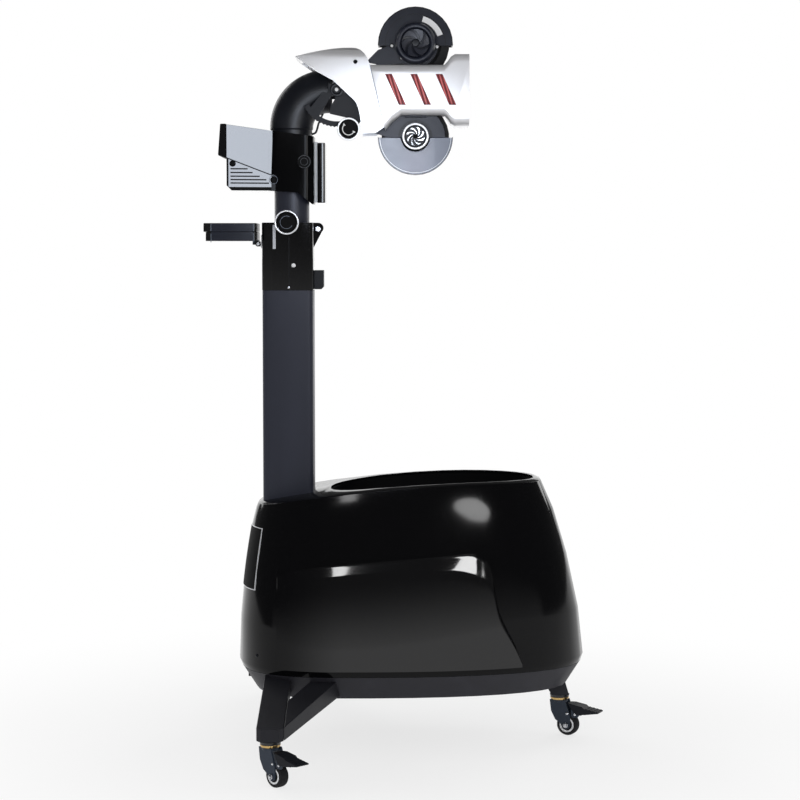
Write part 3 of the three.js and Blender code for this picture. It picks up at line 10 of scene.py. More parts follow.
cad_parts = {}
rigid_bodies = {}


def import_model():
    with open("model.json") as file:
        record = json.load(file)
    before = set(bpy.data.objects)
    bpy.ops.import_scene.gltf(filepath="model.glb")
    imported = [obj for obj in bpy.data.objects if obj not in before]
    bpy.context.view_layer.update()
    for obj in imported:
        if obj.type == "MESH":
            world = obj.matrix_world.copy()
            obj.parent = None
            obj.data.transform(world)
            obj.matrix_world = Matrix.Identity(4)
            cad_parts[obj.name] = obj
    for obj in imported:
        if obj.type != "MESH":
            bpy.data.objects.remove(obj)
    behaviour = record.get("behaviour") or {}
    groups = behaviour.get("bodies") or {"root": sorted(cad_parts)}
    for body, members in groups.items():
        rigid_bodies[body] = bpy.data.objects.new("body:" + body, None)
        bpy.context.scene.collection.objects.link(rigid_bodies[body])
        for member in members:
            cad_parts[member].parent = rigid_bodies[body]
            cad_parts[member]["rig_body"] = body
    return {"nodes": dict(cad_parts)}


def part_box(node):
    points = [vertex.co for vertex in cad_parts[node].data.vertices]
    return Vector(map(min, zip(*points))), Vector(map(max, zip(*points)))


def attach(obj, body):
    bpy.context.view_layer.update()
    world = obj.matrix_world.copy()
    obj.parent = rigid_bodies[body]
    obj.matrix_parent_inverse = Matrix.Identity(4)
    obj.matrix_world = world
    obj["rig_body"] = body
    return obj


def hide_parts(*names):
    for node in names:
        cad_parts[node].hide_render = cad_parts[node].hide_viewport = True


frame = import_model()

bl_info = {
    "name": "Table Tennis Robot",
    "version": (1, 0, 0),
    "blender": (4, 5, 0),
    "location": "3D View > Sidebar > Robot",
    "description": "Finishes the pieces of a floor-standing table tennis robot and lights them",
    "category": "Object",
}

MM = 0.001

# In a copied solid, corners nearer than this in millimetres become one, and so do faces that
# meet at a flatter angle than this in degrees
MERGED = 0.004
FLAT = 0.4

# Stands for a finish's own name, where its slot's name is asked for
OWN_NAME = "own name"

NEAR, FAR = -1, 1
SIDES = ((NEAR, "near"), (FAR, "far"))
TOWARDS_VIEWER = Vector((0, -1, 0))
UP = Vector((0, 0, 1))
COLUMN_X = sum(corner.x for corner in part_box("column")) / 2


def place(x, y, z):
    """A point from millimetres along, across and above the floor under the column."""
    return Vector((COLUMN_X + x * MM, y * MM, z * MM))


def met(node, x, z, side=NEAR):
    """The point and the direction of a frame node's surface, met from one side."""
    bm = bmesh.new()
    bm.from_mesh(frame["nodes"][node].data)
    tree = BVHTree.FromBMesh(bm)
    bm.free()
    point, direction, _, _ = tree.ray_cast(place(x, side * 1000, z), Vector((0, -side, 0)))
    return point, direction


def facing_along(heading):
    """The turn that points a lamp or the camera along a heading, upright."""
    return heading.to_track_quat("-Z", "Y")


def clamp(share):
    """A share kept between 0 and 1."""
    return min(max(share, 0.0), 1.0)


def mix(low, high, share):
    """The value at a share of the way from low to high."""
    return low + (high - low) * share


def sample(stations, share):
    """A value at a share of the way along evenly spaced stations, on a smooth curve."""
    last = len(stations) - 1
    reach = clamp(share) * last
    k = min(int(reach), last - 1)
    t = reach - k
    before, start, end, after = (stations[min(max(k + i, 0), last)] for i in (-1, 0, 1, 2))
    return start + 0.5 * t * (
        end - before + t * (2 * before - 5 * start + 4 * end - after
                            + t * (3 * (start - end) + after - before))
    )


# Sizes and colours that a user would change

def length(name, text, default):
    return bpy.props.FloatProperty(
        name=name, description=text, default=default, min=0, subtype="DISTANCE", unit="LENGTH"
    )


def colour(name, text, default):
    return bpy.props.FloatVectorProperty(
        name=name, description=text, default=default, min=0, max=1, size=3, subtype="COLOR"
    )


class RobotSizes(bpy.types.PropertyGroup):
    """Rounding of the dressed pieces' edges."""

    edge: length("Edge", "Moulded edges", 0.5 * MM)
    fine_edge: length("Fine edge", "Pressed and machined edges", 0.25 * MM)
    thin_edge: length("Thin edge", "Edges of thin covers and strips", 0.3 * MM)
    block_edge: length("Block edge", "Edges of the collar, block and rear plate", 0.8 * MM)
    broad_edge: length("Broad edge", "Edges of the legs and the tray", 1.2 * MM)
    panel_edge: length("Panel edge", "Edges of the control panel", 1.5 * MM)


class RobotColours(bpy.types.PropertyGroup):
    """Colours of the finishes."""

    gloss: colour("Gloss black", "Polished body and collar", (0.0025, 0.0025, 0.003))
    satin: colour("Satin black", "Elbow, knobs and guard", (0.006, 0.007, 0.0105))
    matte: colour("Matte black", "Brackets, ducts and pedals", (0.006, 0.007, 0.0105))
    slate: colour("Slate", "Powder coat of the column", (0.02, 0.0225, 0.036))
    frame_grey: colour("Frame grey", "Legs and nose post", (0.012, 0.0122, 0.016))
    skirt: colour("Skirt grey", "Pan under the body", (0.025, 0.025, 0.031))
    hood: colour("Hood", "Metallic lacquer of the hood", (0.56, 0.56, 0.575))
    shell: colour("Shell", "Pale lacquer of the head shells", (0.68, 0.68, 0.7))
    red: colour("Slot red", "Red of the slot inserts", (0.5, 0.035, 0.032))
    frosted: colour("Frosted", "Lower guard", (0.108, 0.13, 0.196))
    rubber: colour("Rubber", "Throwing wheels and treads", (0.011, 0.011, 0.012))
    steel: colour("Steel", "Pins, rings and screws", (0.62, 0.63, 0.66))
    brass: colour("Caster race", "Yellow passivated race", (0.62, 0.42, 0.17))
    navy: colour("Fork blue", "Painted caster forks", (0.022, 0.03, 0.045))
    tray: colour("Tray", "Moulded side tray", (0.012, 0.015, 0.026))
    strip: colour("Light strip", "Pale strip behind the box", (0.8, 0.84, 0.9))
    orange: colour("Feed orange", "Feed disc in the hopper", (0.7, 0.13, 0.025))
    white: colour("White", "Blank labels, marks and caster rings", (0.85, 0.86, 0.88))


# Materials

def operation(kind, swapped=False):
    """A method that puts one Math node on its values."""
    def method(self, *others):
        values = (*others, self) if swapped else (self, *others)
        made = self.paint.node("ShaderNodeMath", {"operation": kind}, dict(enumerate(values)))
        return Level(self.paint, made.outputs[0])
    return method


class Level:
    """A value socket, on which sums are written as Python expressions."""

    def __init__(self, paint, socket):
        self.paint = paint
        self.socket = socket

    __add__ = __radd__ = operation("ADD")
    __sub__ = operation("SUBTRACT")
    __rsub__ = operation("SUBTRACT", swapped=True)
    __mul__ = __rmul__ = operation("MULTIPLY")
    size = operation("ABSOLUTE")
    above = operation("GREATER_THAN")
    below = operation("LESS_THAN")
    wave = operation("SINE")
    root = operation("SQRT")
    most = operation("MAXIMUM")

    def between(self, low, high):
        """0 below low and 1 above high, with a soft way between them."""
        made = self.paint.node(
            "ShaderNodeMapRange",
            {"interpolation_type": "SMOOTHSTEP", "clamp": True},
            {"Value": self, "From Min": low, "From Max": high},
        )
        return Level(self.paint, made.outputs["Result"])


class Nodes:
    """A tree of shader nodes."""

    def __init__(self, tree):
        self.tree = tree

    def node(self, kind, settings=None, inputs=None):
        """Any node, from its type, its settings, and the values or links of its sockets."""
        made = self.tree.nodes.new(kind)
        for key, value in (settings or {}).items():
            setattr(made, key, value)
        for key, value in (inputs or {}).items():
            value = value.socket if isinstance(value, Level) else value
            if isinstance(value, bpy.types.NodeSocket):
                self.tree.links.new(value, made.inputs[key])
            else:
                made.inputs[key].default_value = value
        return made


def seen_directly(nodes):
    """1 for what the camera, a mirror or a clear sheet shows, and 0 for scattered light."""
    path = nodes.node("ShaderNodeLightPath")
    kinds = ("Camera", "Glossy", "Transmission")
    camera, glossy, clear = (Level(nodes, path.outputs[f"Is {kind} Ray"]) for kind in kinds)
    return camera.most(glossy).most(clear)


class Paint(Nodes):
    """One finish: a Principled shader and the nodes that vary it."""

    def __init__(self, name, base, roughness, metallic=0.0, slot=OWN_NAME, shine=0.5, coat=0.0,
                 coat_roughness=0.03):
        self.name = name
        self.slot = name if slot == OWN_NAME else slot
        self.material = bpy.data.materials.new("finish_" + name)
        self.material.use_nodes = True
        super().__init__(self.material.node_tree)
        self.shader = self.tree.nodes["Principled BSDF"]
        self.base = (*base, 1.0)
        settings = {
            "Base Color": self.base, "Roughness": roughness, "Metallic": metallic,
            "Specular IOR Level": shine, "Coat Weight": coat, "Coat Roughness": coat_roughness,
        }
        for key, value in settings.items():
            self.shader.inputs[key].default_value = value
        self.place = self.node("ShaderNodeTexCoord").outputs["Object"]

    def stretched(self, stretch):
        """Object coordinates, stretched along the axes."""
        mapping = self.node(
            "ShaderNodeMapping", {"vector_type": "POINT"}, {"Vector": self.place, "Scale": stretch}
        )
        return mapping.outputs["Vector"]

    def noise(self, scale, detail, stretch=(1, 1, 1)):
        made = self.node(
            "ShaderNodeTexNoise", None,
            {"Vector": self.stretched(stretch), "Scale": scale, "Detail": detail},
        )
        return Level(self, made.outputs["Fac"])

    def cells(self, scale):
        made = self.node("ShaderNodeTexVoronoi", None, {"Vector": self.place, "Scale": scale})
        return Level(self, made.outputs["Distance"])

    def axes(self):
        """Distance along, across and up, in metres of the frame."""
        split = self.node("ShaderNodeSeparateXYZ", None, {"Vector": self.place})
        return tuple(Level(self, socket) for socket in split.outputs)

    def mixed(self, share, first, second):
        """A colour between two colours."""
        made = self.node(
            "ShaderNodeMix", {"data_type": "RGBA"}, {0: share, 6: first, 7: second}
        )
        return made.outputs[2]

    def drive(self, socket, value):
        value = value.socket if isinstance(value, Level) else value
        self.tree.links.new(value, self.shader.inputs[socket])

    def tint(self, share, colour):
        """Mixes another colour into the base colour by a share."""
        linked = self.shader.inputs["Base Color"].links
        first = linked[0].from_socket if linked else self.base
        self.drive("Base Color", self.mixed(share, first, (*colour, 1.0)))

    def relief(self, height, distance, strength=1.0):
        """Bumps, at most as high as a distance in metres."""
        made = self.node(
            "ShaderNodeBump", None,
            {"Height": height, "Distance": distance, "Strength": strength},
        )
        self.drive("Normal", made.outputs["Normal"])

    def glow(self, share, under):
        """Shows plain white by a share, and another shader for the rest."""
        white = self.node("ShaderNodeEmission", None, {"Color": (1, 1, 1, 1), "Strength": 1.0})
        both = self.node(
            "ShaderNodeMixShader", None, {0: share, 1: under.outputs[0], 2: white.outputs[0]}
        )
        self.tree.links.new(both.outputs[0], self.tree.nodes["Material Output"].inputs["Surface"])


def shade(tint, by):
    """A colour made lighter or darker by a factor."""
    return tuple(min(channel * by, 1.0) for channel in tint)


def gloss_plastic(name, base, roughness=0.07, shine=0.42, slot=OWN_NAME):
    """Polished moulded plastic with faint smears, hairlines and dust."""
    paint = Paint(name, base, roughness, slot=slot, shine=shine)
    smears = paint.noise(9, 4, (1, 1, 0.35)).between(0.45, 0.75)
    hairlines = paint.noise(260, 2, (1, 1, 0.03)).between(0.66, 0.72)
    paint.drive("Roughness", roughness + smears * 0.035 + hairlines * 0.05)
    dust = paint.noise(900, 2).between(0.68, 0.75)
    paint.tint(dust * 0.035, (0.5, 0.5, 0.5))
    paint.relief(paint.noise(14, 1), 0.06 * MM, 0.25)
    return paint


def panel_gloss(colours):
    """The body's plastic under a clear coat, which fades out at the panel's left end."""
    paint = gloss_plastic("panel_gloss", colours.gloss, *BODY_GLOSS, "gloss_black")
    paint.shader.inputs["Coat Roughness"].default_value = 0.05
    x, _, _ = paint.axes()
    start = COLUMN_X + PANEL_LEFT * MM
    paint.drive("Coat Weight", (x - start).between(0.0, COAT_FADE * MM) * 0.7)
    return paint


def dim_gloss(colours):
    """Smooth black plastic with a weak shine, for the neck's housing."""
    paint = Paint("housing_black", colours.gloss, 0.14, slot="gloss_black", shine=0.04)
    paint.drive("Roughness", 0.12 + paint.noise(30, 3) * 0.06)
    paint.relief(paint.noise(900, 2), 0.02 * MM, 0.3)
    return paint


def satin_plastic(name, base, roughness=0.38, grain=0.03 * MM, shine=0.2, slot=OWN_NAME):
    """Moulded plastic with a fine spark-eroded grain."""
    paint = Paint(name, base, roughness, slot=slot, shine=shine)
    grains = paint.noise(2400, 2)
    clouds = paint.noise(28, 4)
    paint.drive("Roughness", roughness - 0.06 + clouds * 0.12)
    paint.tint(clouds.between(0.4, 0.8) * 0.5, shade(base, 1.5))
    paint.relief(grains, grain, 0.5)
    return paint


def powder_coat(name, base, roughness=0.5):
    """Powder coat with its fine orange peel, a little uneven along the steel."""
    paint = Paint(name, base, roughness, 0.1, shine=0.25)
    streaks = paint.noise(16, 3, (1, 1, 0.12))
    paint.tint(streaks.between(0.35, 0.75) * 0.45, shade(base, 1.45))
    paint.drive("Roughness", roughness - 0.07 + streaks * 0.14)
    paint.relief(paint.noise(1100, 2), 0.05 * MM, 0.45)
    return paint


def lacquer(name, base, roughness, metallic, slot=OWN_NAME):
    """Silver lacquer with fine flakes under a clear coat."""
    paint = Paint(name, base, roughness, metallic, slot=slot, coat=0.35, coat_roughness=0.12)
    flakes = paint.cells(1900).between(0.1, 0.6)
    clouds = paint.noise(12, 3)
    paint.tint(flakes * 0.14, shade(base, 0.72))
    paint.drive("Roughness", roughness + flakes * 0.05 + clouds * 0.05)
    paint.relief(paint.noise(60, 2), 0.03 * MM, 0.2)
    return paint


def metal(name, base, roughness=0.26):
    """Plated steel with brush lines and a few dull spots."""
    paint = Paint(name, base, roughness, 1.0)
    lines = paint.noise(700, 3, (1, 0.05, 1))
    spots = paint.noise(90, 4).between(0.5, 0.8)
    paint.drive("Roughness", roughness - 0.05 + lines * 0.12 + spots * 0.12)
    paint.tint(spots * 0.35, shade(base, 0.6))
    paint.relief(lines, 0.01 * MM, 0.4)
    return paint


def rubber(name, base):
    """Dull rubber with a paler bloom and scuffs."""
    paint = Paint(name, base, 0.8, shine=0.3)
    bloom = paint.noise(120, 5)
    paint.tint(bloom.between(0.45, 0.8) * 0.5, shade(base, 2.4))
    paint.drive("Roughness", 0.72 + bloom * 0.2)
    paint.relief(paint.noise(1500, 3), 0.06 * MM, 0.6)
    return paint


def striped_red(colours):
    """Red plastic crossed by dark slanting stripes, darker at its upper and lower ends."""
    paint = Paint("slot_red", colours.red, 0.4, shine=0.2)
    x, _, z = paint.axes()
    across = (x * STRIPE_ACROSS[0] + z * STRIPE_ACROSS[1]) * (2 * math.pi / (STRIPE_PITCH * MM))
    wave = across.wave()
    stripes = wave.between(0.0, 0.5)
    ends = (z - PATH_HEIGHT * MM).size().between(15 * MM, 25 * MM)
    paint.tint(stripes * 0.9, (0.085, 0.004, 0.007))
    paint.tint(wave.below(-0.82) * 0.55, (0.72, 0.24, 0.24))
    paint.tint(ends * 0.45, (0.05, 0.008, 0.01))
    paint.drive("Roughness", 0.26 + stripes * 0.25)
    paint.relief(stripes, 0.25 * MM, 0.6)
    return paint


def tray_plastic(colours):
    """Blue-black plastic, painted black past the corner lines as painted shade where the tray's
    ends round away.
    """
    paint = satin_plastic("tray_navy", colours.tray, 0.3)
    x, _, _ = paint.axes()
    left, right = (COLUMN_X + raised_line * MM for raised_line in TRAY_CORNER_LINES)
    # Painted shade: past the corner lines the tray is painted black where its ends round away
    paint.tint(x.below(left) + x.above(right), (0.003, 0.003, 0.0035))
    return paint


def passivated(colours):
    """A black plate over a yellow race, which share one solid in each caster."""
    paint = metal("zinc_gold", colours.brass, 0.3)
    _, _, z = paint.axes()
    plate_part = z.above(CASTER_RACE * MM)
    paint.tint(plate_part, (0.014, 0.014, 0.016))
    paint.drive("Metallic", 1 - plate_part)
    return paint


def frosted(colours):
    """Smoke-blue frosted plastic, a little warmer in its middle."""
    paint = Paint("guard_frosted", colours.frosted, 0.32, coat=0.15)
    x, _, z = paint.axes()
    middle_x = COLUMN_X + WHEEL_X * MM
    warm = 1 - (x - middle_x).size().between(4 * MM, 34 * MM)
    low = 1 - (z - LOWER_Z * MM).between(-58 * MM, -8 * MM)
    paint.tint(warm * 0.4, (0.2, 0.185, 0.27))
    paint.tint(low * 0.3, (0.12, 0.14, 0.22))
    paint.drive("Alpha", 0.9 - warm * 0.05 + paint.noise(240, 2) * 0.06)
    paint.drive("Roughness", 0.28 + paint.noise(60, 3) * 0.14)
    paint.relief(paint.noise(1800, 2), 0.04 * MM, 0.4)
    return paint


class Softbox(NamedTuple):
    """A lamp: its place and aim in metres, its size, and whether it is mirrored or scattered."""

    name: str
    where: tuple
    aim: tuple
    size: tuple
    radiance: float
    seen: str
    shape: str = "RECTANGLE"
    roll: float = 0.0
    colour: tuple = (1.0, 1.0, 1.0)


# Light and camera, with strengths from 0 to 1, places in metres and the lens in millimetres

AMBIENT = 0.4
HIGH_REFLECTION = 0.1
CARD_HEIGHT = 0.72
CARD_WIDTH = 6.0
CARD_AWAY = 2.0
FLOOR_GLOW = 0.72
COOL_WHITE = (0.86, 0.93, 1.05)
SOFTBOXES = (
    Softbox("console_softbox", (-0.03, -0.6, 0.95), (-0.25, -0.05, 0.93), (0.18, 0.22), 17,
            "mirrored", colour=COOL_WHITE),
    Softbox("left_band_softbox", (-0.241, -0.993, 1.135), (-0.1, -0.156, 0.287), (0.08, 0.2), 18,
            "mirrored"),
    Softbox("right_band_softbox", (0.63, -1.19, 0.97), (0.1, -0.146, 0.29), (0.44, 0.22), 15,
            "mirrored", shape="ELLIPSE", roll=-20),
    Softbox("back_card", (0.1, 3.0, 0.75), (0.0, 0.0, 0.5), (4.0, 0.8), 1.0, "both"),
    Softbox("front_fill", (0.1, -3.0, 1.3), (0.0, 0.0, 0.7), (2.0, 1.4), 2.9, "scattered"),
    Softbox("left_softbox", (-2.8, -0.5, 1.5), (-0.1, 0.0, 0.6), (1.2, 1.8), 2.2, "scattered"),
    Softbox("right_softbox", (2.8, -0.4, 1.2), (0.0, 0.0, 0.6), (1.0, 1.8), 2.2, "scattered"),
    Softbox("left_rear_softbox", (-1.7, 2.2, 1.6), (0.0, 0.0, 0.6), (1.2, 1.8), 3.0, "both"),
    Softbox("right_rear_softbox", (1.7, 2.2, 1.6), (0.0, 0.0, 0.6), (1.2, 1.8), 3.0, "both"),
)
VIEW_X = COLUMN_X + 176.8 * MM
VIEW_AWAY, VIEW_HEIGHT, AIM_HEIGHT = 3.44, 0.782, 0.5395
LENS = 97.25

# The body's roughness and shine, and sizes in millimetres: places are along from the column's
# middle, across from it, and above the floor

BODY_GLOSS = (0.09, 0.15)
COAT_FADE = 110.0
STRIPE_PITCH = 5.4
STRIPE_ACROSS = (0.957, 0.29)

NECK_X = 5.5
ELBOW_LEG = 32.5
ELBOW_OUT = 34.0
ELBOW_WALL = 3.0
ELBOW_LOW = 899.3
ELBOW_TURN = 971.0
ELBOW_BEND = 57.0
ELBOW_STEP, ELBOW_COLLAR, ELBOW_MOUTH = 1.5, 2.5, 2.0
CABLE_ROUTE = (
    (55, 0, 993.5), (52, 0, 986.5), (48, 0, 977.5), (45.9, 0, 969.5), (43.2, 0, 963.4),
    (37.6, 0, 961),
)
CABLE_RADIUS = 1.6
CONSOLE_LEFT = -93.5
# A cap's name and place; a side's half depth at the left, and how much it narrows per millimetre
CAPS = (("upper", -84.2, 54.2, 912.9), ("lower", -21.4, 41.6, 887.9))
DIAL = (27, -46.8, 916)
COVER_SIDE = (56.0, 0.24)
HOUSING_SIDE = (56.0, 0.2)
CONSOLE_PLATES = (
    ("cover_return", "gloss_black", COVER_SIDE, 0.05,
     ((-33, 899.8), (-24.8, 896.2), (-22.4, 964.2), (-33, 965.5))),
    ("vent_plate", "gloss_black", HOUSING_SIDE, 0.3,
     ((-90.5, 876.5), (-24.6, 876.5), (-24.2, 894.6), (-30.5, 896.6), (-90.5, 919.5))),
    ("vent_border_end", "deep_black", HOUSING_SIDE, 0.3,
     ((-93.2, 879.2), (-90.5, 876.5), (-90.5, 919.8), (-93.2, 920.8))),
    ("vent_border_low", "deep_black", HOUSING_SIDE, 0.3,
     ((-90.5, 876.5), (-85.6, 871.6), (-24.6, 871.6), (-24.6, 876.5))),
)
LOUVRES = ((-61, 904.7), (-53.3, 898.9), (-42.3, 893.2), (-32.3, 887.9), (-28, 882.6))
LOUVRE_LEFT = -87.4
LOCK_KNOB_HEIGHT = 821.3
TILT_PIN = (78.0, 0.0, 1028.0)
TILT_KNOB = (96.8, 966.0)
HEAD_INSIDE = (
    (75, 1038), (75, 1014), (68.5, 1003), (67, 991), (98, 984), (114, 990), (118, 1003),
    (118, 1040), (96, 1046),
)
HOOD_SEAM = ((129.2, 1067), (130.2, 1067), (149.6, 984), (148.6, 984))
CASTER_RACE = 61.4
# A caster's name, its place along and across, and its turn in degrees
CASTERS = (("near", -12, -336, -45), ("far", -12, 336, 45), ("nose", 434, 0, -25))
CASTER_AXLE = (15, 0, 17.5)
# A fastener's name, body, place from the swivel, count of sides, finish, and radii and heights
CASTER_FASTENERS = (
    ("axle_nut", "swivel", CASTER_AXLE, 6, {"edge": 0.3 * MM, "angle": 25},
     ((0, 11), (4.4, 11), (4.4, 13.9), (3.7, 14.5), (0, 14.5))),
    ("axle_end", "swivel", CASTER_AXLE, 32, {},
     ((0, 14), (2.3, 14), (2.2, 15.4), (1.5, 16), (0, 16.2))),
    ("rivet", "swivel", (17, 0, 36.5), 24, {},
     ((0, 11), (2.3, 11), (2.2, 12), (1.4, 12.8), (0, 13.1))),
    ("pedal_rivet", "brake", (30, 0, 36), 24, {},
     ((0, 9), (2.3, 9), (2.2, 11.4), (1.4, 12.2), (0, 12.5))),
)
PEDAL = (
    (16, 53), (24, 52.5), (42, 49.5), (46, 46.5), (70, 42.5), (70, 40.5), (46, 36.5), (30, 35.5),
)
PEDAL_HALF, PEDAL_NECK_HALF, PEDAL_NECK = 12, 8, 20
PEDAL_CHEEK = ((23, 33), (26, 30), (34, 30.5), (37, 34), (37, 43), (23, 43))
# Where the tray's ends round away, along from the column: pale strips of painted highlight stand
# there, and past them the tray is painted black as shade
TRAY_CORNER_LINES = (-119.2, -52.5)
TRAY_LEVELS = (("lower", 789, 805.4), ("upper", 806.7, 820.4))
# A screw's name, paint, place along and up, and radius
COLLAR_SCREWS = (("large", "mark_white", 9.8, 754.3, 3.3), ("small", "steel", 1.9, 719.4, 1.9))
BODY_LEFT, BODY_RIGHT, BODY_WIDEST = -79.0, 470.0, 90.0
BODY_HEIGHT = 255.0
BODY_DEPTH = 174.0
# How far the left end, right end and sides lean in at the top, and the power of height
BODY_LEANS = ((27, 2.1), (66, 1.7), (52, 1.7))
BODY_SCREWS = ((-45, 151.6), (364, 140))
LEFT_POWER, RIGHT_POWERS = 2.7, (2.4, 2.9)
SEAM = 125.0
DECK_PEAK, DECK_REACH, DECK_RISE = 330, 382, 38
END_PLATE_TURN = (186, 216)
TURN_PER_MM = 0.55
END_PLATE_HEIGHT = (250, 345)
PANEL_LEFT = mix(BODY_LEFT, BODY_RIGHT, 0.12)
PANEL_RIGHT = mix(BODY_LEFT, BODY_RIGHT, 0.81)
PANEL_LOW = SEAM + 10.3
PANEL_CREST = 0.6
PANEL_FADE = 0.12
PANEL_PROUD = (1.2, 4.5)
# Shares of the body's length and height along the panel's top, and the height of its band
PANEL_TOP = (
    (0, 0.608), (0.132, 0.651), (0.272, 0.673), (0.433, 0.693), (0.581, 0.71), (0.728, 0.725),
    (0.794, 0.729), (0.83, 0.7), (0.862, 0.668), (0.88, 0.575), (0.907, 0.376), (0.971, 0.176),
    (1, 0.067),
)
PANEL_BAND = (
    0.03, 0.07, 0.071, 0.072, 0.083, 0.098, 0.13, 0.125, 0.11, 0.055, 0.03, 0.02, 0.01,
)
PATH_HEIGHT = 1028.0
WHEEL_X = 201.0
UPPER_Z = 1100.3
LOWER_Z = 955.7
FAN_SCREWS = ((164.1, 1097.6), (234.8, 1096.2), (179.3, 1078.7))
PAINTS = {}


def mix_paints():
    """All finishes, by name."""
    colours = bpy.context.scene.robot_colours
    made = [
        gloss_plastic("gloss_black", colours.gloss),
        gloss_plastic("body_gloss", colours.gloss, *BODY_GLOSS, "gloss_black"),
        panel_gloss(colours),
        dim_gloss(colours),
        satin_plastic("satin_black", colours.satin),
        satin_plastic("deep_black", shade(colours.gloss, 0.7), 0.6, shine=0.06,
                      slot="satin_black"),
        satin_plastic("guard_blue", (0.0095, 0.0115, 0.021), 0.34, slot="satin_black"),
        satin_plastic("matte_black", colours.matte, 0.55, 0.05 * MM),
        satin_plastic("skirt_grey", colours.skirt, 0.5),
        powder_coat("column_slate", colours.slate, 0.42),
        powder_coat("frame_grey", colours.frame_grey),
        powder_coat("fork_navy", colours.navy, 0.36),
        lacquer("hood_silver", colours.hood, 0.3, 0.35),
        lacquer("shell_silver", colours.shell, 0.3, 0.35),
        lacquer("rim_silver", (0.75, 0.76, 0.79), 0.25, 0.4, None),
        striped_red(colours),
        frosted(colours),
        tray_plastic(colours),
        rubber("wheel_rubber", colours.rubber),
        rubber("tyre", colours.rubber),
        metal("steel", colours.steel),
        passivated(colours),
        # Also paints the pale painted highlight along the lower guard's rim
        gloss_plastic("strip_pale", colours.strip, 0.2),
        gloss_plastic("feed_orange", colours.orange, 0.25),
        satin_plastic("mark_white", colours.white, 0.45, slot=None),
        # Blue-grey for marks and seam lines, and for the tray's painted highlight strips
        satin_plastic("mark_and_highlight_blue", (0.11, 0.13, 0.17), 0.3, slot=None),
        # Pale grey for the collar's painted highlight strip
        satin_plastic("painted_highlight_grey", (0.5, 0.52, 0.57), 0.3, slot=None),
        satin_plastic("fan_grey", shade(colours.slate, 0.8), 0.3, slot=None),
        satin_plastic("dial_grey", (0.06, 0.065, 0.075), 0.4, slot=None),
    ]
    PAINTS.update({paint.name: paint for paint in made})


# Pieces

def mark_edges(bm, angle):
    """Smooth faces, with the edges sharper than an angle kept crisp."""
    for face in bm.faces:
        face.smooth = True
    for edge in bm.edges:
        edge.smooth = len(edge.link_faces) == 2 and edge.calc_face_angle(0) < angle


def in_scene(name, data):
    """A new object in the scene, from a mesh, a lamp or a camera."""
    made = bpy.data.objects.new(name, data)
    bpy.context.scene.collection.objects.link(made)
    return made


def in_mesh(name, bm, paint):
    """A new object from a bmesh, in one paint."""
    mesh = bpy.data.meshes.new(name)
    bm.to_mesh(mesh)
    bm.free()
    mesh.materials.append(paint.material)
    return in_scene(name, mesh)


def finished(bm, name, body, paint, edge=0.0, angle=35, wall=0.0):
    """Turns a mesh into a piece that rides on a body, with a wall and rounded edges if given."""
    mark_edges(bm, math.radians(angle))
    made = PAINTS[paint]
    piece = in_mesh(name, bm, made)
    if wall:
        skin = piece.modifiers.new("wall", "SOLIDIFY")
        skin.thickness = wall
        skin.offset = -1
    if edge:
        bevel = piece.modifiers.new("edge", "BEVEL")
        bevel.width = edge
        bevel.segments = 2
        bevel.limit_method = "ANGLE"
        bevel.angle_limit = math.radians(angle)
        bevel.harden_normals = True
    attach(piece, body)
    return piece


def merged_copy(node):
    """A frame node's mesh with its triangles joined into plain faces."""
    bm = bmesh.new()
    bm.from_mesh(frame["nodes"][node].data)
    bmesh.ops.remove_doubles(bm, verts=bm.verts, dist=MERGED * MM)
    bmesh.ops.dissolve_limit(bm, angle_limit=math.radians(FLAT), verts=bm.verts, edges=bm.edges)
    return bm


def verts_of(made):
    """The corners among what an extrusion made."""
    return [item for item in made["geom"] if isinstance(item, bmesh.types.BMVert)]


def grid(columns, rows, size=0.5):
    """A flat sheet of faces, which reaches as far as its size to each side."""
    bm = bmesh.new()
    bmesh.ops.create_grid(bm, x_segments=columns, y_segments=rows, size=size)
    return bm


def doubled(bm):
    """Draws a second layer out of a sheet, and gives its corners, which are still to be moved."""
    return verts_of(bmesh.ops.extrude_face_region(bm, geom=bm.faces[:]))


def faced_out(bm):
    """Turns the faces outwards."""
    bmesh.ops.recalc_face_normals(bm, faces=bm.faces)
    return bm


def moved(bm, matrix):
    """Turns, moves or scales a whole body."""
    bmesh.ops.transform(bm, matrix=matrix, verts=bm.verts)
    return bm


def turn_and_move(bm, centre, axis):
    """Turns a body from upright to an axis, and moves it to a place."""
    turn = UP.rotation_difference(Vector(axis)).to_matrix().to_4x4()
    return moved(bm, Matrix.Translation(centre) @ turn)


def carried_on(bm, edges, move):
    """Draws open edges out to a new place, and gives the new ones."""
    made = bmesh.ops.extrude_edge_only(bm, edges=edges)
    bmesh.ops.transform(bm, matrix=move, verts=verts_of(made))
    return [item for item in made["geom"] if isinstance(item, bmesh.types.BMEdge)]


def closed(bm):
    """Fills what is open, and turns the faces outwards."""
    bmesh.ops.holes_fill(bm, edges=bm.edges, sides=0)
    return faced_out(bm)


def drawn(corners, depth):
    """A flat body from the corners of a face, drawn out across by a depth."""
    bm = bmesh.new()
    bm.faces.new([bm.verts.new(corner) for corner in corners])
    bmesh.ops.translate(bm, vec=(0, depth * MM, 0), verts=doubled(bm))
    return closed(bm)


def plate(outline, near, far):
    """A flat body from an outline of places along and up, between two depths."""
    return drawn([place(x, near, z) for x, z in outline], far - near)


def bar(outline, low, high):
    """A flat body from an outline about its own origin, between two depths."""
    return drawn([(x * MM, low * MM, z * MM) for x, z in outline], high - low)


def rectangle(left, right, low, high):
    """An outline of places along and up."""
    return (left, low), (right, low), (right, high), (left, high)


